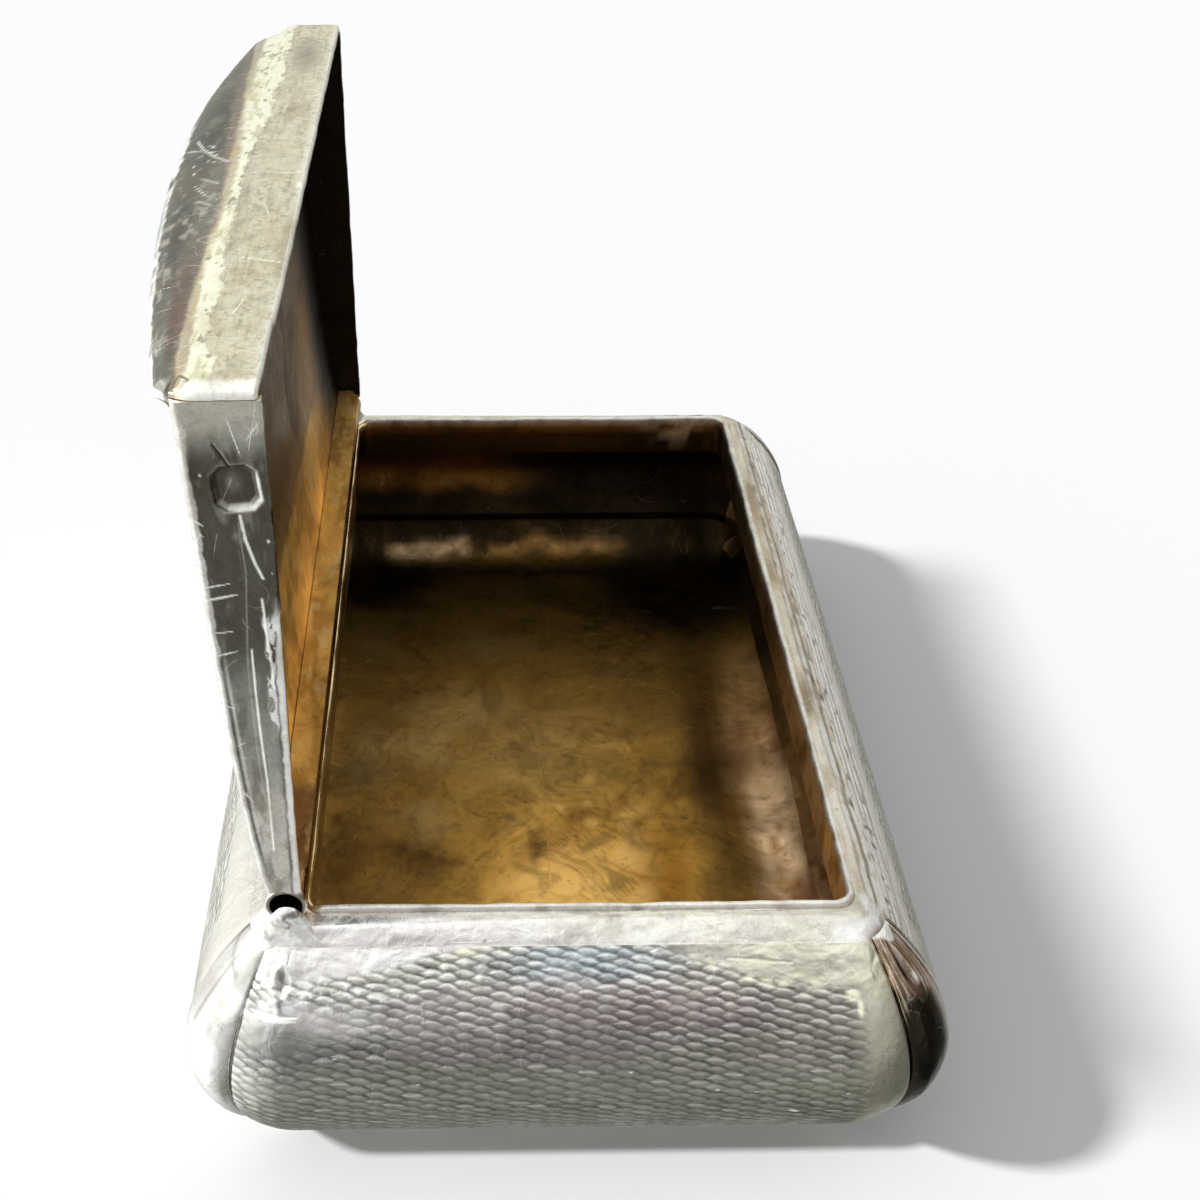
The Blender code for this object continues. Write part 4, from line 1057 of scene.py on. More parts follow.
# painted reflection and shade: brighter gold over the near half and on the right-hand cove, and near black towards the
# far end, in its corners and along the foot of the far wall
t_p = lerp(t_p, (0.37, 0.235, 0.070), blob(X + 2 * warp, Y, -2.0, 3.0, 9.0, 8.0, 0.9) * 0.8)
t_p = lerp(t_p, (0.72, 0.41, 0.085), step(2.0, -9.0, Y + 3 * warp) * step(-12.0, -3.0, X + 2 * warp) * step(13.0, 9.0, X) * 0.8)
t_p = lerp(t_p, (1.0, 0.62, 0.19), blob(X + 2 * warp, Y + 2 * warp, 1.8, -10.5, 7.0, 4.6, 0.8) * 0.9)
t_p = lerp(t_p, (0.24, 0.13, 0.026), step(-1.0, -15.0, X + 2 * warp) * 0.7)
t_p = lerp(t_p, (0.33, 0.155, 0.020), blob(X + 0.8 * warp, Y + 2 * warp, 8.6, -9.0, 3.0, 6.5, 0.8) * 0.95)
t_p = lerp(t_p, (0.20, 0.11, 0.022), blob(X + 2 * warp, Y, 7.5, 9.0, 5.5, 9.0, 0.9) * 0.7)
t_p = lerp(t_p, (0.16, 0.09, 0.018), step(10.0, 22.0, Y + 3 * warp) * 0.75)
t_p = lerp(t_p, (0.085, 0.042, 0.008), blob(X + 0.9 * warp, Y, 13.0, 4.0, 2.9, 17.0, 0.8) * 0.97)
side_s = fbm(X / 0.9 + 0.3 * Y / 5, Y / 4.0, 417, 4)
right_ = step(14.1, 15.9, X + 0.8 * warp)
t_p = lerp(t_p, (0.50, 0.30, 0.14), right_ * step(20.0, 8.0, Y + 4 * warp) * np.clip(0.75 + 0.7 * side_s, 0, 1))
t_p = lerp(t_p, (1.0, 0.73, 0.46), right_ * step(7.0, -7.0, Y) * step(-0.40, 0.2, side_s) * 0.92)
t_p = lerp(t_p, (0.32, 0.14, 0.06), right_ * step(14.0, 2.0, Y) * step(0.06, 0.36, fbm(X / 0.8 + 7, Y / 3.0, 418, 4)) * 0.8)
t_p = lerp(t_p, (0.018, 0.011, 0.004), blob(X, Y + 2 * warp, -16.5, 27.0, 9.0, 4.4, 0.6))
t_p = lerp(t_p, (0.014, 0.009, 0.003), blob(X, Y, 13.5, 26.0, 10.5, 9.5, 0.6))
t_p = lerp(t_p, (0.03, 0.018, 0.006), np.exp(-((Y - 28.7 - 0.5 * warp) / 0.9) ** 2) * 0.85)
# bright reflection that breaks up along the far cove
edge = 30.95 + 0.55 * fbm(X / 3.6, 0 * X, 419, 2)
band = step(-1.2, 0.1, Y - edge) * step(1.1, 0.1, Y - edge)
gap_ = 1 - 0.9 * blob(X, Y * 0, -5.6, 0.0, 1.3, 1.0, 0.7)
band = band * step(-15.0, -13.0, X) * step(9.5, 5.5, X) * gap_ * np.clip(0.66 + 0.6 * fbm(X / 1.6, Y / 0.9, 421, 3), 0, 1)
# the far cove painted near black: painted shade
t_p = lerp(t_p, (0.018, 0.011, 0.004), step(29.6, 30.6, Y) * 0.95)
t_p = lerp(t_p, (0.86, 0.61, 0.33), band * step(-4.5, -7.5, X))
t_p = lerp(t_p, (0.42, 0.235, 0.065), band * step(-7.5, -4.5, X) * 0.72)
# clouded stains with darker outlines
dull = 1 - np.clip(band * 2, 0, 1)
curl = fbm(X / 2.6 + 1.0 * vnoise(Y / 2.6, X / 2.9, 431), Y / 3.0 + 0.9 * vnoise(X / 2.5, Y / 3.0, 433), 435, 4)
near_half = step(12.0, -4.0, Y)
t_p = lerp(t_p, (0.13, 0.070, 0.016), np.exp(-((curl - 0.10) / 0.09) ** 2) * (0.18 + 0.22 * near_half) * dull)
t_p = lerp(t_p, (0.10, 0.055, 0.014), step(0.22, 0.50, curl) * (0.30 + 0.25 * near_half) * dull)
t_p = lerp(t_p, (0.95, 0.62, 0.22), step(0.10, 0.42, -curl) * near_half * step(-6.0, 0.0, X) * step(9.0, 5.0, X) * 0.40)
haze = step(-0.05, 0.45, fbm(X / 5.0 + 20, Y / 4.5, 437, 3)) * step(1.0, -5.0, X) * step(26.0, 12.0, Y)
t_p = lerp(t_p, (0.40, 0.31, 0.14), haze * 0.26 * dull)
for cx_, cy_, rx_, ry_ in ((6.1, -6.2, 1.3, 2.8), (-3.0, 4.0, 0.8, 0.9), (-9.5, -9.0, 1.8, 2.4), (-1.5, -7.5, 0.8, 2.6)):
    t_p = lerp(t_p, (0.10, 0.055, 0.014), blob(X + fbm(X / 1.5, Y / 1.5, 7, 2), Y + fbm(X / 1.5, Y / 1.5, 9, 2), cx_, cy_, rx_, ry_, 0.9) * 0.55)
t_p = lerp(t_p, (0.88, 0.87, 0.82), np.repeat((np.array(kinds) == 0)[:, None], X.shape[1], 1) * 1.0)
loops_mesh("bottom_plate_visual", loops, "base", "base_bottom_plate",
           [SILVER, GILT], t_p, 0.40, index=np.array(kinds[:-1]), close_section=False, cap=True)


# --------------------------------------------------------------------- the lid
CO, SO = math.cos(OPEN), math.sin(OPEN)


def opened(P):
    """From the shut lid's frame on the hinge axis to where the lid stands."""
    P = np.asarray(P, float)
    return np.stack([AX + P[..., 0] * CO - P[..., 2] * SO, P[..., 1],
                     AZ + P[..., 0] * SO + P[..., 2] * CO], -1)


def cover(x, y):
    """Outer face of the cover above the mouth's plane, lid shut, from the hinge axis."""
    d = np.maximum(0.0, x)
    u = np.clip((x - 1.35) / (LID_FRONT - LID_BACK), 0, 1)
    v = y / LID_HALF
    dome = 0.55 * (1 - v * v) * np.sin(math.pi * u ** 1.1)
    return H + 2.30 + 1.0 * (1 - np.exp(-d / 6.0)) + 1.40 * d / 35.0 + dome - AZ


XF = LID_FRONT - AX          # 34.8
XB = LID_BACK - AX           # 1.35
LOW = H + 0.12 - AZ

# cover plate, set between the walls
LR = 1.3
SET_F, SET_S, SET_R = 0.66, 0.62, 0.68
CF, CH = XF - SET_F, LID_HALF - SET_S
arc_x = CF - SET_R + SET_R * np.sin(np.linspace(0, math.pi / 2, 9))[1:]
xs = np.concatenate([XB + (CF - SET_R - XB) * np.linspace(0, 1, 326), arc_x])
half = np.where(xs > CF - SET_R, CH - SET_R + np.sqrt(np.maximum(SET_R ** 2 - (xs - CF + SET_R) ** 2, 0)), CH)
f = np.linspace(-1, 1, 284)
Xc = np.repeat(xs[:, None], len(f), 1)
Yc = half[:, None] * f[None]
P = np.stack([Xc, Yc, cover(Xc, Yc)], -1)
N = normals(P)
if N[..., 2].mean() < 0:
    N = -N
N = np.where(np.isfinite(N), N, 0.0)
border = np.minimum(np.minimum(Xc - XB, CF - Xc), half[:, None] - np.abs(Yc))
inside_ = np.minimum(np.minimum(Xc - XB, XF - 4.6 - Xc), LID_HALF - np.abs(Yc))
m = step(2.2, 2.7, inside_ + 0.1 * fbm(Xc, Yc, 501, 2))
m = m * np.clip(0.8 + 0.35 * fbm(Xc / 5, Yc / 5, 503, 3), 0.3, 1)
E, up, low, cell = turning(Yc + 0.16 * fbm(Yc / 6, Xc / 6, 502, 2), Xc + 0.10 * fbm(Xc / 6, Yc / 6, 504, 2))
line_in = np.exp(-((inside_ - 1.7) / 0.10) ** 2)
d = 0.070 * m * (E - 0.9) - 0.05 * line_in - 0.02 + 0.04 * (fbm(Xc / 7, Yc / 7, 505, 3) - 0.5) * step(0, 1.5, border)
out = P + N * d[..., None]
inn = P - np.array([0, 0, 1.0]) * 0.65
inn[..., 2] += 0.05 * fbm(Xc / 6, Yc / 8, 507, 3) * step(0, 2.0, border)
t_o = panel_tint(Yc, Xc, Xc * 0 + 8, m, E)
# painted light and shade on the grains: painted shade in the cuts and on the lower side of each grain, a painted
# highlight on its upper part
t_o = shade(t_o, (1 - 0.74 * m * low) * (1 + m * (0.30 * step(0.0, 0.5, up) + 0.16 * (cell - 0.5) - 0.2 * step(0.05, -0.5, up))))
t_i = flat_tint(Xc.shape, (0.44, 0.25, 0.075))
t_i = lerp(t_i, (0.20, 0.12, 0.045), step(-0.2, 0.4, fbm(Xc / 9, Yc / 14, 511, 4)) * 0.7)
# painted reflection and shade: the gilding lighter near the hinge with a bright gold strip, darker further out
t_i = lerp(t_i, (0.075, 0.052, 0.026), step(14.0, 26.0, Xc) * 0.93)
t_i = lerp(t_i, (0.40, 0.25, 0.10), step(18.0, 9.0, Xc) * 0.6)
gold_edge = Xc + 0.7 * fbm(Yc / 4.0, Xc / 6.0, 513, 3) + 0.05 * Yc
t_i = lerp(t_i, (0.17, 0.105, 0.042), step(9.0, 11.5, gold_edge) * step(18.0, 8.0, Yc) * 0.78)
t_i = lerp(t_i, (0.98, 0.60, 0.16, 0.15), step(9.5, 7.7, gold_edge) * step(20.0, 12.0, Yc))
t_i = lerp(t_i, (0.50, 0.26, 0.05), step(8.9, 8.2, gold_edge) * step(0.0, 0.40, fbm(Yc / 2.4, Xc / 2.0, 515, 4)) * 0.75)
t_i = lerp(t_i, (1.0, 0.78, 0.34, 0.3), step(8.9, 8.2, gold_edge) * step(0.15, 0.5, fbm(Yc / 1.2, Xc / 2.6, 517, 3)) * 0.5)
t_i = lerp(t_i, (0.16, 0.07, 0.02), np.exp(-((gold_edge - 8.95) / 0.45) ** 2) * step(20.0, 12.0, Yc) * 0.35)
t_i = lerp(t_i, (0.15, 0.11, 0.06), blob(Xc, Yc, 29.0, -16.0, 7.0, 9.0, 0.9) * 0.6)
# near black towards the far end: a painted reflection of the dark far wall
t_i = lerp(t_i, (0.02, 0.016, 0.010), step(17.0, 24.0, Yc) * 0.95)
shell("lid_cover_visual", opened(out), opened(inn), "lid", "lid_cover",
      [SILVER_TURNED, GILT_LID, SILVER], t_o, t_i, 0.25 + 0.1 * m, 0.45, edge=2)


def lid_strip(name, node, path, path_n, z0, z1, rows, body_fn, tint_fn, thick=0.65,
              mats=None, rough=0.24, lean=None, inner=(0.30, 0.20, 0.09)):
    """An upright strip of the lid that follows a path in plan."""
    path, path_n = np.asarray(path, float), np.asarray(path_n, float)
    s_ = np.concatenate([[0], np.cumsum(np.linalg.norm(np.diff(path, axis=0), axis=1))])
    T = np.linspace(0, 1, rows)
    S, TT = np.meshgrid(s_, T)
    z0, z1 = np.broadcast_to(z0, len(s_)), np.broadcast_to(z1, len(s_))
    Z = z0[None] + (z1 - z0)[None] * TT
    base = np.stack([np.repeat(path[None, :, 0], rows, 0), np.repeat(path[None, :, 1], rows, 0), Z], -1)
    NN = np.stack([np.repeat(path_n[None, :, 0], rows, 0), np.repeat(path_n[None, :, 1], rows, 0), 0 * Z], -1)
    back = np.zeros_like(Z) if lean is None else lean(S, Z, base)
    d_ = body_fn(S, Z, base)
    out_ = base + NN * (d_ - back)[..., None]
    inn_ = base - NN * thick + 0 * back[..., None]
    within = inner(S, Z, base) if callable(inner) else flat_tint(Z.shape, inner)
    return shell(name, opened(out_), opened(inn_), "lid", node, mats or [SILVER_LID, GILT_LID, SILVER],
                 tint_fn(S, Z, base), within, rough, 0.4, edge=2)


# front wall, with its rounded corners
LR = 0.66
a = np.radians(np.linspace(-90, 0, 12))
near_arc = np.stack([XF - LR + LR * np.cos(a), -LID_HALF + LR + LR * np.sin(a)], -1)
near_arn = np.stack([np.cos(a), np.sin(a)], -1)
a = np.radians(np.linspace(0, 90, 12))
far_arc = np.stack([XF - LR + LR * np.cos(a), LID_HALF - LR + LR * np.sin(a)], -1)
far_arn = np.stack([np.cos(a), np.sin(a)], -1)
run = np.linspace(-LID_HALF + LR, LID_HALF - LR, 420)[1:-1]
mid = np.stack([np.full(len(run), XF), run], -1)
mid_n = np.stack([np.ones(len(run)), np.zeros(len(run))], -1)
path = np.concatenate([near_arc, mid, far_arc])
path_n = np.concatenate([near_arn, mid_n, far_arn])
edge_z = cover(path[:, 0], path[:, 1])


def streak_edges(Y):
    """Heights where the bright streak, a painted highlight, starts, where it turns cream
    and where the plain metal of the thumbpiece starts."""
    rag = 0.34 * fbm(Y / 0.9, 0 * Y + 2.0, 603, 4)
    lo_ = np.interp(Y, [-30, -26.5, -25.8, -21.3, -17.7, -14.4, -10.9, -4.8, -0.7, 1.9, 4.7, 7.5, 11.5, 15.8, 20.4, 24, 30],
                    [1.0, 1.5, 1.95, 2.2, 2.2, 2.4, 2.7, 2.7, 2.95, 2.85, 2.55, 2.3, 2.2, 2.1, 2.3, 2.2, 2.1])
    hi_ = np.interp(Y, [-30, -26.9, -20.1, -14.4, -10.9, -6.4, 1.9, 5.6, 10.5, 15.8, 25.3, 30],
                    [2.6, 2.75, 3.25, 3.6, 3.7, 3.35, 3.5, 3.8, 4.2, 4.3, 4.4, 4.4])
    top_ = np.interp(Y, [-30, -27.9, -25.8, -18.9, -8.7, 7.5, 21.6, 30],
                     [3.0, 3.1, 3.5, 3.75, 3.6, 4.3, 4.95, 5.3])
    return lo_ + rag, hi_ + 0.5 * rag, np.maximum(top_, hi_ + 0.1)


def edge_paint(tint, Y, Z, S):
    """The bands that run along the lid's front edge, on the wall and the thumbpiece. The bright first band is a painted
    highlight.
    """
    lo_, hi_, top_ = streak_edges(Y)
    rag = 0.24 * fbm(Y / 0.55, Z / 0.5, 627, 3)
    # the bright streak: a painted highlight, with darker spots
    m_ = step(-0.03, 0.03, Z - lo_ + rag)
    tint = lerp(tint, (1.0, 1.0, 0.80, 0.75), m_)
    tint = lerp(tint, (0.86, 0.84, 0.58, 0.55), m_ * step(0.0, 0.45, fbm(Y / 1.5, Z / 0.35, 628, 3)))
    spots = step(0.40, 0.55, fbm(Y / 0.6, Z / 0.35, 633, 3)) * m_
    tint = lerp(tint, (0.48, 0.46, 0.34, 0.2), spots * 0.75)
    cream = step(-0.15, 0.15, Z - hi_ + 0.12 * fbm(Y / 1.4, Z / 0.4, 629, 3))
    tint = lerp(tint, (0.93, 0.85, 0.66, 0.25), cream)
    tint = lerp(tint, (0.95, 0.78, 0.50, 0.25), cream * step(0.0, 0.5, fbm(Y / 3.0, Z / 0.3, 631, 2)) * 0.8)
    return tint, step(-0.12, 0.12, Z - top_ + 0.12 * fbm(Y / 0.9, Z / 0.4, 635, 3))


def front_body(S, Z, B):
    Y = B[..., 1]
    d_ = 0.03 * (fbm(S / 3.0, Z / 2.0, 611, 3) - 1) - 0.02
    d_ = d_ - 0.20 * blob(Y, Z, -4.1, -0.75, 0.62, 0.36, 0.8)
    d_ = d_ - 0.05 * stroke(Y, Z, -14.5, 1.5, -15.4, -1.1, 0.12)
    d_ = d_ - 0.04 * stroke(Y, Z, -1.9, 0.7, -1.9, -0.9, 0.10)
    d_ = d_ - 0.10 * blob(Y, Z, 3.6, 2.9, 0.35, 0.22, 0.8)
    ragged = streak_edges(Y)[0]
    d_ = d_ + 0.030 * step(-0.1, 0.1, Z - ragged + 0.15 * fbm(Y / 0.5, Z / 0.5, 613, 2))
    notch = polyline(Y, Z, [(-27.9, 3.0), (-28.7, 2.4), (-29.7, 2.9), (-29.2, 3.25), (-27.9, 3.0)], 0.14)
    return d_ - 0.06 * notch + edge_round(Z - Z.min(0, keepdims=True), 0.16)


def front_lean(S, Z, B):
    q = np.clip((Z - 1.9) / 1.45, 0, 1.2)
    return 0.42 * q ** 2.0


def front_tint_lid(S, Z, B):
    Y = B[..., 1]
    tint = flat_tint(Z.shape, (0.86, 0.82, 0.65, 0.40))
    mott = fbm(Y / 1.3 + 0.7 * vnoise(Z / 0.7, Y / 1.2, 620), Z / 0.7, 621, 4)
    tint = lerp(tint, (0.68, 0.64, 0.50, 0.25), step(-0.02, 0.42, mott) * 0.50)
    brushed = fbm(Y / 2.6, Z / 0.16, 624, 3)
    tint = lerp(tint, (0.60, 0.55, 0.42, 0.2), step(0.10, 0.45, brushed) * 0.4)
    tint = lerp(tint, (0.93, 0.91, 0.80, 0.50), step(0.10, 0.5, -mott) * 0.4)
    # painted highlight towards the rim edge
    tint = lerp(tint, (0.97, 0.95, 0.82, 0.62), step(0.75, 0.25, Z - Z.min(0, keepdims=True) + 0.2 * fbm(Y / 1.8, Z, 626, 3)) * 0.6)
    fine = fbm(Y / 0.35, Z / 0.30, 622, 3)
    tint = lerp(tint, (0.50, 0.46, 0.36, 0.1), step(0.20, 0.5, fine) * 0.45)
    tint = lerp(tint, (0.54, 0.50, 0.44, 0.1), blob(Y, Z, 21.5, 0.7, 5.0, 1.3, 0.8) * 0.8)
    tint = lerp(tint, (0.52, 0.47, 0.34, 0.1), blob(Y, Z, -13.0, -0.9, 7.0, 0.55, 0.7) * 0.6)
    tint, over = edge_paint(tint, Y, Z, S)
    tint = lerp(tint, (0.56, 0.45, 0.40, 0.05), over)
    for y0, z0_, y1, z1_, w in ((-14.5, 1.55, -15.4, -1.15, 0.09), (-1.9, 0.75, -1.95, -0.9, 0.07),
                                (9.0, 1.4, 11.5, 1.0, 0.05), (-22.0, 1.2, -20.0, 0.7, 0.05),
                                (14.0, -0.2, 13.4, -0.9, 0.06), (-9.0, 0.4, -7.0, 0.9, 0.04)):
        tint = lerp(tint, (1.0, 1.0, 0.88, 0.85), np.clip(stroke(Y, Z, y0, z0_, y1, z1_, w) * 2, 0, 1))
    notch = polyline(Y, Z, [(-27.9, 3.0), (-28.7, 2.4), (-29.7, 2.9), (-29.2, 3.25), (-27.9, 3.0)], 0.10)
    tint = lerp(tint, (0.40, 0.33, 0.20, 0.1), step(0.1, 0.6, notch) * 0.9)
    # painted highlights along the rim edge and on the near corner
    tint = lerp(tint, (1.0, 1.0, 0.92, 0.8), step(0.20, 0.07, Z - Z.min(0, keepdims=True)) * 0.8)
    tint = lerp(tint, (1.0, 0.995, 0.93, 0.8), step(-28.6, -29.1, Y + 0.25 * fbm(Z / 0.5, Y / 0.5, 637, 3)) * step(2.9, 2.4, Z) * 0.9)
    tint = lerp(tint, (0.66, 0.62, 0.50, 0.2), blob(Y, Z, -28.2, 0.4, 0.35, 1.6, 0.8) * 0.5)
    return tint


cut = 0.05 * fbm(path[:, 1] / 2.0, 0 * path[:, 1], 641, 3) + 0.10 * step(-22.3, -22.1, path[:, 1])
lid_strip("lid_front_wall_visual", "lid_front_wall", path, path_n, LOW + 0.18 - cut, edge_z + 0.0, 84,
          front_body, front_tint_lid, lean=front_lean)

# near end wall with its blank octagonal punch recess
ex = np.linspace(1.05, XF - LR - 0.05, 460)
PUNCH = (29.15, 0.45)


def punch_shape(X_, Z_):
    """Depth share of a blank octagonal recess with bevelled sides."""
    px, pz = X_ - PUNCH[0], Z_ - PUNCH[1]
    ca, sa = math.cos(0.10), math.sin(0.10)
    px, pz = ca * px + sa * pz, -sa * px + ca * pz
    oct_ = np.maximum(np.maximum(np.abs(px) / 1.42, np.abs(pz) / 1.25),
                      (np.abs(px) + np.abs(pz)) / 2.15)
    return 1 - step(0.72, 0.96, oct_), oct_, px, pz


def near_wall_body(S, Z, B):
    X_ = B[..., 0]
    d_ = 0.02 * fbm(X_ / 3.0, Z / 1.5, 651, 3)
    deep, oct_, px, pz = punch_shape(X_, Z)
    d_ = d_ - 0.32 * deep + 0.07 * deep * blob(px, pz, 0.1, 0.0, 0.7, 0.55, 0.8)
    d_ = d_ + 0.04 * np.exp(-((oct_ - 1.05) / 0.06) ** 2) * step(-0.3, 0.8, -pz - 0.5 * px)
    d_ = d_ - 0.09 * np.clip(stroke(X_, Z, 31.7, 1.42, 30.2, 0.62, 0.16) * 1.5, 0, 1)
    ridge = polyline(X_, Z, [(27.5, 0.34), (26.0, 0.17), (24.6, -0.18), (23.6, -0.52)], 0.16)
    ridge = np.maximum(ridge, polyline(X_, Z, [(22.3, -0.36), (20.6, -0.43), (19.0, -0.50), (16.2, -0.62)], 0.13))
    ridge = np.maximum(ridge, polyline(X_, Z, [(19.0, 0.43), (16.2, 0.44), (12.7, 0.39), (9.8, 0.30), (4.5, 0.30)], 0.12))
    ridge = np.maximum(ridge, 0.5 * polyline(X_, Z, [(26.9, 0.62), (23.6, 0.44)], 0.10))
    d_ = d_ + 0.055 * step(0, 1, ridge)
    d_ = d_ - 0.03 * step(-0.60, -0.66, Z) * step(23.5, 20.0, X_)
    top_ = Z.max(0, keepdims=True)
    return d_ + edge_round(Z - Z.min(0, keepdims=True), 0.12) + edge_round(top_ - Z + 0.06 * fbm(X_ / 0.9, 0 * X_, 669, 4), 0.36)


def near_wall_tint(S, Z, B):
    X_ = B[..., 0]
    tint = flat_tint(Z.shape, (0.60, 0.60, 0.55, 0.04))
    # painted shade and light: darker in the middle stretch of the wall, lighter towards the hinge
    tint = lerp(tint, (0.20, 0.185, 0.150, 0.0), step(32.2, 30.6, X_ + 0.5 * fbm(X_, Z, 668, 2)) * step(16.0, 19.5, X_) * 0.86)
    tint = lerp(tint, (0.76, 0.76, 0.72, 0.10), blob(X_, Z, 12.6, 0.3, 6.5, 2.4, 0.9) * 0.9)
    tint = lerp(tint, (0.98, 0.95, 0.86, 0.55), step(12.5, 6.5, X_) * 0.92)
    grainy = fbm(X_ / 2.0 + 0.6 * vnoise(Z / 0.8, X_ / 1.5, 665), Z / 0.7, 661, 4)
    tint = lerp(tint, (0.34, 0.34, 0.31, 0.0), step(0.0, 0.45, grainy) * 0.5)
    tint = lerp(tint, (0.88, 0.87, 0.82, 0.2), step(0.1, 0.5, -grainy) * 0.4)
    tint = lerp(tint, (0.92, 0.90, 0.78, 0.42), step(31.0, 33.4, X_ + 0.6 * fbm(X_, Z, 667, 3)) * 0.85)
    top_ = cover(X_, B[..., 1])
    wob = 0.16 * fbm(X_ / 0.9, 0 * X_, 669, 4)
    # painted highlight along the top edge
    tint = lerp(tint, (1.0, 1.0, 0.97, 0.40), step(0.56, 0.44, top_ - Z + wob))
    # nicks along the top edge painted bright: painted highlights
    nick_ = step(0.25, 0.5, fbm(X_ / 0.8, 0 * X_ + 4, 670, 3)) * step(1.6, 0.4, top_ - Z)
    tint = lerp(tint, (1.0, 1.0, 0.96, 0.6), nick_ * step(0.2, 0.5, fbm(X_ / 0.25, Z / 1.4, 672, 3)) * 0.8)
    # a painted shadow line and a painted highlight line under the cover's edge
    cover_step_shade_highlight = step(2.0, 5.0, X_) * step(20.0, 16.0, X_)
    tint = lerp(tint, (0.26, 0.26, 0.24, 0.0), np.exp(-((top_ - Z - 0.50) / 0.08) ** 2) * cover_step_shade_highlight * 0.85)
    tint = lerp(tint, (0.98, 0.98, 0.94, 0.6), np.exp(-((top_ - Z - 0.70) / 0.09) ** 2) * cover_step_shade_highlight * 0.85)
    # painted highlight along a ridge
    tint = lerp(tint, (0.97, 0.97, 0.93, 0.6), polyline(X_, Z, [(27.0, 0.5), (24.0, 0.35), (18.0, 0.75), (12.0, 0.72), (7.0, 0.5)], 0.07) * 0.5)
    deep, oct_, px, pz = punch_shape(X_, Z)
    # painted shade in the punch recess, lighter in its middle
    tint = lerp(tint, (0.22, 0.21, 0.19, 0.0), deep * 0.92)
    tint = lerp(tint, (0.50, 0.50, 0.46, 0.0), deep * blob(px, pz, 0.15, 0.0, 0.75, 0.5, 0.9) * 0.8)
    # the bevel round the recess: painted highlight on its lit sides, painted shade on the top side
    bevel = np.exp(-((oct_ - 0.93) / 0.085) ** 2)
    lit_side = step(-0.15, 0.75, -pz * 0.75 - px * 0.9)
    tint = lerp(tint, (1.0, 1.0, 0.97, 0.85), np.clip(bevel * lit_side * 1.5, 0, 1))
    tint = lerp(tint, (0.10, 0.10, 0.09, 0.0), np.clip(bevel * step(0.0, 0.8, pz), 0, 1) * 0.85)
    tint = lerp(tint, (0.62, 0.62, 0.58, 0.1), np.clip(bevel * step(0.4, 1.0, px), 0, 1) * 0.8)
    dark = stroke(X_, Z, 31.7, 1.42, 30.2, 0.62, 0.12)
    tint = lerp(tint, (0.10, 0.10, 0.09), np.clip(dark * 2, 0, 1))
    # painted highlights on the raised ridges and fine strokes
    ridge = polyline(X_, Z, [(27.5, 0.34), (26.0, 0.17), (24.6, -0.18), (23.6, -0.52)], 0.10)
    ridge = np.maximum(ridge, polyline(X_, Z, [(22.3, -0.36), (20.6, -0.43), (19.0, -0.50), (16.2, -0.62)], 0.08))
    ridge = np.maximum(ridge, polyline(X_, Z, [(19.0, 0.43), (16.2, 0.44), (12.7, 0.39), (9.8, 0.30), (4.5, 0.30)], 0.07))
    for x0, z0_, x1, z1_, w in ((23.0, 2.75, 23.3, 1.25, 0.07), (20.1, 2.35, 20.2, 1.35, 0.05),
                                (33.3, 0.6, 31.0, 0.05, 0.05), (26.6, 2.7, 26.2, 2.3, 0.05),
                                (15.2, 2.2, 15.0, 1.7, 0.05), (12.3, 1.8, 12.6, 1.3, 0.05),
                                (22.2, 2.75, 22.6, 0.9, 0.11), (18.6, 2.3, 18.9, 1.2, 0.08), (27.4, 2.9, 26.9, 2.3, 0.09),
                                (9.2, 1.9, 8.2, 1.2, 0.08), (8.6, 1.9, 8.9, 1.5, 0.07), (31.9, -0.3, 32.9, -1.0, 0.06)):
        ridge = np.maximum(ridge, stroke(X_, Z, x0, z0_, x1, z1_, w))
    tint = lerp(tint, (1.0, 1.0, 0.97, 0.8), np.clip(ridge * 2.0, 0, 1))
    # painted glints
    for x0, z0_, w in ((29.9, 2.15, 0.10), (25.9, -0.95, 0.10), (23.9, -1.0, 0.05)):
        tint = lerp(tint, (1.0, 1.0, 0.97, 0.9), blob(X_, Z, x0, z0_, w * 1.4, w, 0.6))
    rim_ = Z - Z.min(0, keepdims=True) + 0.12 * fbm(X_ / 0.8, 0 * X_, 673, 3)
    # painted highlight along the bottom edge
    tint = lerp(tint, (1.0, 1.0, 0.95, 0.9), step(0.40, 0.22, rim_) * step(22.5, 20, X_))
    torn = step(0.02, 0.10, fbm(X_ / 0.8, Z / 0.35, 675, 4) + 0.30 * step(0.8, 0.3, rim_)) * step(0.95, 0.80, rim_) * step(21.5, 20.5, X_) * step(13.0, 14.0, X_)
    tint = lerp(tint, (1.0, 1.0, 0.96, 0.9), torn)
    tint = lerp(tint, (0.30, 0.29, 0.26, 0.0), np.exp(-((rim_ - 0.42) / 0.06) ** 2) * step(21.0, 18.0, X_) * 0.6)
    return tint


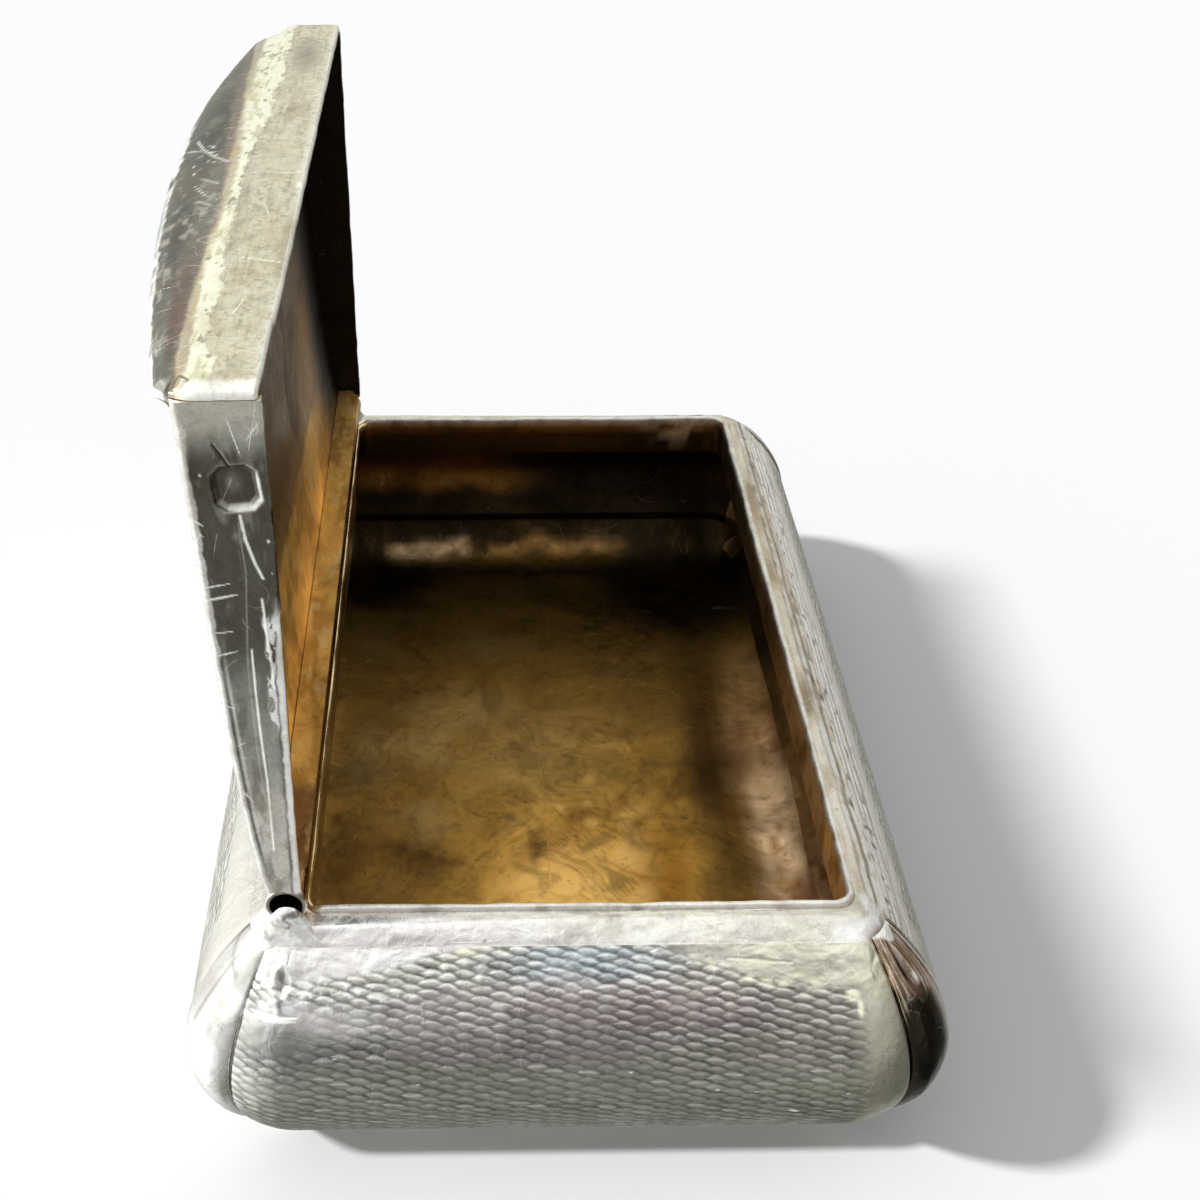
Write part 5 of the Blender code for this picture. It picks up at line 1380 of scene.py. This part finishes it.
for tag, sign in (("near", -1), ("far", 1)):
    top_z = cover(ex, np.full(len(ex), sign * LID_HALF)) - 0.01
    low_z = LOW + 0.02 + 0.05 * fbm(ex / 1.6, 0 * ex + sign, 671, 3)
    if sign < 0:
        low_z = low_z + 0.10 * step(21.5, 20.5, ex) + 0.35 * step(20.0, 4.0, ex) * 0.5
    lid_strip("lid_%s_wall_visual" % tag, "lid_%s_end_wall" % tag,
              np.stack([ex, np.full(len(ex), sign * LID_HALF)], -1),
              np.stack([0 * ex, np.full(len(ex), float(sign))], -1), low_z, top_z, 72,
              near_wall_body if sign < 0 else (lambda S, Z, B: 0.02 * fbm(S / 3.0, Z / 1.5, 655, 3)),
              near_wall_tint if sign < 0 else (lambda S, Z, B: flat_tint(Z.shape, (0.72, 0.71, 0.66))),
              inner=(0.30, 0.20, 0.09) if sign < 0 else (0.028, 0.024, 0.016))

# hinge rail
def rail_tint(S, Z, B):
    Y = B[..., 1]
    tint = flat_tint(Z.shape, (0.98, 0.61, 0.17, 0.2))
    tint = lerp(tint, (0.50, 0.26, 0.05), step(0.0, 0.45, fbm(Y / 3.0, Z / 1.0, 683, 4)) * 0.75)
    tint = lerp(tint, (0.24, 0.12, 0.05), step(-20.8, -22.4, Y) * 0.85)
    return lerp(tint, (1.0, 0.80, 0.40), step(0.25, 0.5, fbm(Y / 1.5, Z / 0.6, 685, 3)) * 0.5)


ry = np.linspace(29.0, -29.0, 120)
lid_strip("lid_hinge_rail_visual", "lid_hinge_rail", np.stack([np.full(len(ry), XB), ry], -1),
          np.stack([-np.ones(len(ry)), 0 * ry], -1), LOW + 0.50 * step(28.0, 28.4, np.abs(ry)),
          cover(np.full(len(ry), XB), ry) - 0.60, 14,
          lambda S, Z, B: 0.02 * fbm(S / 3.0, Z, 681, 2),
          rail_tint, thick=0.5, mats=[GILT_LID, GILT_LID, GILT_LID], inner=rail_tint)

# ------------------------------------------------------------------ thumbpiece
TH = 28.3


def thumb_h(y):
    near = 1.1 + 3.8 * (1 - ((7.0 - y) / (7.0 + TH)) ** 2)
    far = 2.4 + 2.5 * (1 - ((y - 7.0) / (TH - 7.0)) ** 2)
    return np.where(y < 7.0, near, far)


ty = np.linspace(-TH, TH, 400)
ends = np.minimum(step(-TH - 0.01, -TH + 0.9, ty) * 0.5 + 0.5, step(TH + 0.01, TH - 0.25, ty) * 0.25 + 0.75)
hh = thumb_h(ty) * ends + 0.04 * fbm(ty / 1.2, 0 * ty, 701, 3) - 0.03
depth = 4.2 * (0.55 + 0.45 * np.clip(hh, 0.5, 4.9) / 4.9)
loops = []
SEC = 60
root = cover(np.full(len(ty), XF - 0.42), ty)
for k in range(SEC + 1):
    g = k / SEC
    if g < 0.55:
        w = g / 0.55
        x = XF - 0.44 - 0.42 * depth * (1 - np.cos(w * math.pi / 2)) ** 0.85
        zz = hh * np.sin(w * math.pi / 2) ** 1.0
    else:
        w = (g - 0.55) / 0.45
        x = XF - 0.44 - depth * (0.42 + 0.46 * w)
        zz = hh * (1 - w) ** 1.7
    c = root * (1 - w * (g >= 0.55)) + cover(x, ty) * (w * (g >= 0.55))
    rip = 0.03 * fbm(ty / 2.0, 0 * ty + g * 6, 703, 3) * min(1.0, g * 8)
    loops.append(np.stack([x, ty, c - 0.02 + zz + rip], -1))
for k in range(1, 6):
    x = loops[SEC][:, 0] + (loops[0][:, 0] - loops[SEC][:, 0]) * k / 6.0
    loops.append(np.stack([x, ty, cover(x, ty) - 0.10], -1))
sec = np.array(loops).transpose(1, 0, 2)       # (along, around, 3)
G = np.repeat((np.arange(sec.shape[1]) / SEC)[None], sec.shape[0], 0)
Yt, Zt = sec[..., 1], sec[..., 2]
High = (Zt - root[:, None]) / np.maximum(hh, 0.3)[:, None]
front_face = G < 0.56
dark_t = flat_tint(G.shape, (0.50, 0.48, 0.43, 0.03))
# painted shade: darker patches on the thumbpiece
dark_t = lerp(dark_t, (0.24, 0.24, 0.21), blob(Yt, High, 8.0, 0.50, 11.0, 0.34, 0.9) * 0.8)
dark_t = lerp(dark_t, (0.27, 0.26, 0.23), blob(Yt, High, -9.0, 0.62, 9.0, 0.22, 0.9) * 0.8)
cl = fbm(Yt / 1.6, High * 5, 711, 4)
dark_t = lerp(dark_t, (0.62, 0.62, 0.56, 0.05), step(0.05, 0.5, cl) * 0.55)
dark_t = lerp(dark_t, (0.88, 0.86, 0.78, 0.35), step(0.12, 0.5, fbm(Yt / 1.1, High * 9, 713, 4)) * step(2.0, -6.0, Yt)
              * 0.65)
over_top = Zt - streak_edges(Yt)[2]
mauve = step(-0.1, 0.05, over_top) * step(0.25 + 0.55 * step(-2.0, 8.0, Yt), 0.05 + 0.35 * step(-2.0, 8.0, Yt), over_top)
dark_t = lerp(dark_t, (0.60, 0.50, 0.43, 0.08), mauve * 0.9)
dark_t = lerp(dark_t, (0.46, 0.33, 0.30, 0.0), blob(Yt, High, -20.0, 0.34, 9.0, 0.30, 0.8) * 0.85)
t_t, over = edge_paint(flat_tint(G.shape, (0.9, 0.88, 0.7, 0.4)), Yt, Zt, Yt)
t_t = t_t * (1 - over)[..., None] + dark_t * over[..., None]
arc = [(6.5, 0.72), (4.5, 0.60), (2.6, 0.40), (1.2, 0.16)]
mark = polyline(Yt / 6, High, [(a_ / 6, b_) for a_, b_ in arc], 0.024)
for y0, g0, y1, g1, w in ((5.2, 0.84, 4.2, 0.62, 0.012), (-1.0, 0.50, -2.4, 0.22, 0.010), (-2.0, 0.56, -4.6, 0.30, 0.012),
                          (-5.0, 0.42, -6.0, 0.20, 0.010), (2.0, 0.66, -0.5, 0.60, 0.008)):
    mark = np.maximum(mark, stroke(Yt / 12, High, y0 / 12, g0, y1 / 12, g1, w))
dots = step(0.46, 0.56, fbm(Yt / 0.35, High * 16, 715, 2)) * blob(Yt, High, 4.0, 0.42, 5.5, 0.34, 0.9)
mark = np.clip(np.maximum(mark * 1.8, dots), 0, 1) * front_face
t_t = lerp(t_t, (1.0, 1.0, 0.94, 0.8), mark * 0.9)
# painted highlight along the top of the front face
ragged = 0.05 * fbm(Yt / 0.8, High * 3, 719, 3)
rim_highlight = step(0.86, 0.91, High + ragged) * step(14.0, 8.0, Yt + 2.0 * fbm(Yt / 1.5, G, 717, 2))
rim_highlight = rim_highlight * step(-0.45, 0.0, fbm(Yt / 1.3, High * 6, 718, 3) + 0.1)
t_t = lerp(t_t, (1.0, 1.0, 0.98, 0.85), rim_highlight)
t_t = lerp(t_t, (0.62, 0.74, 0.80, 0.3), blob(Yt, High, -6.0, 0.95, 6.0, 0.03, 0.8) * 0.7)
t_t = lerp(t_t, (0.85, 0.84, 0.78, 0.05), step(0.62, 0.70, G) * 0.8)
t_t = lerp(t_t, (1.0, 0.99, 0.92, 0.8), step(TH - 0.9, TH - 0.4, Yt) * step(0.25, 0.1, High))
loops_mesh("lid_thumbpiece_visual", opened(sec), "lid", "lid_thumbpiece",
           [SILVER_LID], t_t, 0.22, close_section=False, cap=True)


# ---------------------------------------------------------------------- hinge
def ring_loops(y_list, r_list, sides=56):
    a_ = np.linspace(0, 2 * math.pi, sides, endpoint=False)
    return np.array([np.stack([AX + r_ * np.cos(a_), np.full(sides, y_), AZ + r_ * np.sin(a_)], -1)
                     for y_, r_ in zip(y_list, r_list)])


def knuckle(name, node, body, y0, y1, bright=(0.90, 0.89, 0.83)):
    b_ = 0.98
    ys = [y0, y0, y0 + 0.10, *np.linspace(y0 + 0.5, y1 - 0.5, 26), y1 - 0.10, y1, y1]
    rs = [b_, TUBE_R - 0.08, TUBE_R, *([TUBE_R] * 26), TUBE_R, TUBE_R - 0.08, b_]
    L_ = ring_loops(ys, rs)
    jig = 0.015 * fbm(L_[..., 1] * 0.7, np.arctan2(L_[..., 2] - AZ, L_[..., 0] - AX) * 2, 801, 2)
    L_[..., 2] += jig
    tint = flat_tint(L_.shape[:2], bright)
    tint = lerp(tint, (0.50, 0.42, 0.28), step(0.0, 0.6, fbm(L_[..., 1] / 3, L_[..., 0] * 2, 803, 3)) * 0.5)
    # the side turned into the box painted brown-gold: a painted reflection of the gilding
    tint = lerp(tint, (0.46, 0.25, 0.085), step(0.15, 0.55, (L_[..., 0] - AX) / TUBE_R)
                * step(y0 + 0.15, y0 + 0.5, L_[..., 1] + 100.0 * (y0 > -25)))
    # the bore painted near black: painted shade
    tint = lerp(tint, (0.06, 0.05, 0.04), step(0.99, 0.97, np.hypot(L_[..., 0] - AX, L_[..., 2] - AZ)) * 0.9)
    loops_mesh(name, L_, body, node, [SILVER], tint, 0.24)


g_ = 0.075
knuckle("hinge_tube_lid_near", "lid_knuckle_near", "lid", KNUCKLES[0], KNUCKLES[1] - g_)
knuckle("hinge_tube_base_near", "base_knuckle_near", "base", KNUCKLES[1] + g_, KNUCKLES[2] - g_)
knuckle("hinge_tube_lid_middle", "lid_knuckle_middle", "lid", KNUCKLES[2] + g_, KNUCKLES[3] - g_)
knuckle("hinge_tube_base_far", "base_knuckle_far", "base", KNUCKLES[3] + g_, KNUCKLES[4] - g_)
knuckle("hinge_tube_lid_far", "lid_knuckle_far", "lid", KNUCKLES[4] + g_, KNUCKLES[5])
L_ = ring_loops([-26.4, -26.3, *np.linspace(-26, 26, 30), 26.3, 26.4], [0.75, 0.88, *([0.90] * 30), 0.88, 0.75], 32)
loops_mesh("hinge_pin_visual", L_, "base", "hinge_pin", [SILVER],
           flat_tint(L_.shape[:2], (0.20, 0.18, 0.15)), 0.5, close_section=False, cap=True)

# crumpled metal pushed up under the open ends of the tube
for tag, sign in (("near", -1), ("far", 1)):
    y0, y1 = LID_HALF + 0.12, RIM_Y - 0.08
    rows = []
    for i in range(30):
        q = i / 29.0
        y = y0 + (y1 - y0) * q
        tall = 0.03 + 1.50 * math.cos(q * math.pi / 2) ** 1.1
        wide = 1.45 + 0.85 * q
        k = np.linspace(-1, 1, 64)
        x_ = AX + wide * k
        base_z = top_of_base(x_, np.full(len(k), y))
        z_ = base_z + 0.01 + tall * (1 - np.abs(k) ** (2.6 - 0.8 * q)) ** (1.15 + 0.5 * q)
        z_ = z_ + 0.07 * fbm(x_ / 0.55, y / 0.35 + 0 * x_, 821, 3) * (1 - k * k)
        low_ = base_z.min() - 0.22
        xx = np.concatenate([[x_[0]], x_, [x_[-1]]])
        zz = np.concatenate([[low_], z_, [low_]])
        rows.append(np.stack([xx, np.full(len(xx), sign * y), zz], -1))
    C_ = np.array(rows)
    crease = fbm(C_[..., 0] / 0.5 + 0.7 * vnoise(C_[..., 1] / 0.3, C_[..., 0], 825), C_[..., 2] / 0.5, 823, 4)
    tint = flat_tint(C_.shape[:2], (1.0, 0.99, 0.97, 0.60))
    fold = step(RIM_Y + 0.2, LID_HALF + 0.5, np.abs(C_[..., 1])) * step(2.0, 1.2, np.abs(C_[..., 0] - AX))
    # painted shade in the creases and painted highlights on the crumpled metal
    tint = lerp(tint, (0.46, 0.46, 0.43, 0.0), step(0.08, 0.42, crease) * 0.85 * fold)
    tint = lerp(tint, (1.0, 1.0, 0.98, 0.85), step(0.15, 0.45, -crease))
    loops_mesh("hinge_cheek_%s_visual" % tag, C_, "base", "hinge_cheek_" + tag,
               [SILVER], tint, 0.2, close_section=False, cap=True)

# ----------------------------------------------------------------------- stage
floor_mesh = bpy.data.meshes.new("floor")
floor_mesh.from_pydata([(-4, -4, 0), (4, -4, 0), (4, 4, 0), (-4, 4, 0)], [], [(0, 1, 2, 3)])
floor = bpy.data.objects.new("floor", floor_mesh)
bpy.context.scene.collection.objects.link(floor)
floor.location.z = -0.00002
floor_mat = bpy.data.materials.new("floor")
n = Nodes(floor_mat)
n.bsdf.inputs["Base Color"].default_value = (0.80, 0.80, 0.80, 1)
n.bsdf.inputs["Roughness"].default_value = 0.9
n.bsdf.inputs["Specular IOR Level"].default_value = 0.0
floor_mesh.materials.append(floor_mat)
floor.visible_glossy = False

# a wide softbox dome that only the polished metal sees
DOME = 1.5
bpy.ops.mesh.primitive_uv_sphere_add(segments=48, ring_count=24, radius=DOME, location=(0, 0, 0.02))
dome = bpy.context.object
dome.name = "softbox_dome"
dome.data.shade_smooth()
dome_mat = bpy.data.materials.new("softbox_dome")
n = Nodes(dome_mat)
n.t.nodes.remove(n.bsdf)
tc = n.new("ShaderNodeTexCoord")
norm = n.new("ShaderNodeVectorMath", operation="NORMALIZE")
n.link(tc.outputs["Object"], norm.inputs[0])
sep = n.new("ShaderNodeSeparateXYZ")
n.link(norm.outputs["Vector"], sep.inputs["Vector"])
ramp = n.new("ShaderNodeValToRGB")
n.link(n.remap(sep.outputs["Z"], -1.0, 1.0, 0.0, 1.0, smooth=False), ramp.inputs["Fac"])
cr = ramp.color_ramp
stops = [(0.0, (0.30, 0.30, 0.29)), (0.30, (0.42, 0.42, 0.40)), (0.48, (0.50, 0.49, 0.46)),
         (0.54, (0.34, 0.34, 0.32)), (0.66, (0.48, 0.47, 0.44)), (0.80, (0.85, 0.85, 0.82)),
         (1.0, (1.15, 1.15, 1.13))]
while len(cr.elements) < len(stops):
    cr.elements.new(0.5)
for el, (pos, c) in zip(cr.elements, stops):
    el.position = pos
    el.color = (*c, 1)
colour = ramp.outputs["Color"]


def patch(colour, azimuth, elevation, inner, outer, tint, strength=1.0):
    """A soft round patch of the dome. Azimuth 0 is +X, 90 is +Y."""
    az, el_ = math.radians(azimuth), math.radians(elevation)
    dot = n.new("ShaderNodeVectorMath", operation="DOT_PRODUCT")
    n.link(norm.outputs["Vector"], dot.inputs[0])
    dot.inputs[1].default_value = (math.cos(az) * math.cos(el_), math.sin(az) * math.cos(el_), math.sin(el_))
    m_ = n.remap(dot.outputs["Value"], math.cos(math.radians(outer)), math.cos(math.radians(inner)), 0.0, strength)
    return color_mix(n, m_, colour, tint)


colour = patch(colour, -90, -35, 30, 62, (0.27, 0.27, 0.245))
colour = patch(colour, -90, 25, 8, 34, (0.26, 0.24, 0.25), 0.8)
colour = patch(colour, 0, 12, 10, 45, (0.20, 0.16, 0.13), 0.9)
colour = patch(colour, -20, -30, 15, 45, (0.04, 0.04, 0.032), 0.9)
colour = patch(colour, 180, 25, 20, 75, (1.5, 1.5, 1.46), 0.95)
colour = patch(colour, 180, -10, 25, 70, (1.2, 1.2, 1.16), 0.9)
colour = patch(colour, 60, 18, 10, 35, (0.90, 0.90, 0.85), 0.8)
colour = patch(colour, 95, 36, 12, 34, (0.80, 0.76, 0.64), 0.9)
colour = patch(colour, 120, 10, 12, 30, (0.30, 0.31, 0.28), 0.9)
emit = n.new("ShaderNodeEmission")
n.link(colour, emit.inputs["Color"])
emit.inputs["Strength"].default_value = 1.0
n.link(emit.outputs["Emission"], n.t.nodes["Material Output"].inputs["Surface"])
dome.data.materials.clear()
dome.data.materials.append(dome_mat)
dome.visible_camera = False
dome.visible_diffuse = False
dome.visible_shadow = False
dome.visible_transmission = False

world = bpy.data.worlds.new("studio")
bpy.context.scene.world = world
world.use_nodes = True
world.node_tree.nodes["Background"].inputs["Color"].default_value = (0.97, 0.98, 1.0, 1)
world.node_tree.nodes["Background"].inputs["Strength"].default_value = 0.56

sun = bpy.data.lights.new("key", "SUN")
sun.energy = 3.05
sun.angle = math.radians(6.0)
sun_ob = bpy.data.objects.new("key", sun)
bpy.context.scene.collection.objects.link(sun_ob)
sun_ob.rotation_euler = Vector((0.724, 0.012, -0.690)).to_track_quat("-Z", "Y").to_euler()
# the light wraps under the near end, so its swelling wall throws no shadow forwards
blockers = bpy.data.collections.new("key_blockers")
for ob in bpy.context.scene.objects:
    if ob.type == "MESH" and ob.name not in ("near_end_panel", "corner_near_hinge", "softbox_dome", "floor"):
        blockers.objects.link(ob)
sun_ob.light_linking.blocker_collection = blockers

# ---------------------------------------------------------------------- camera
cam = bpy.data.cameras.new("camera")
cam.lens = 49.65
cam.sensor_width = 36.0
cam.shift_x, cam.shift_y = 0.094, -0.145
cam.clip_start, cam.clip_end = 0.001, 20.0
camera = bpy.data.objects.new("camera", cam)
bpy.context.scene.collection.objects.link(camera)
camera.location = (-0.0064, -0.0996, 0.0924)
camera.rotation_euler = (math.radians(59.6), math.radians(0.03), math.radians(-0.72))
bpy.context.scene.camera = camera

view = bpy.context.scene.view_settings
view.view_transform = "Standard"
view.look = "None"
view.exposure = 0.0
view.gamma = 1.0
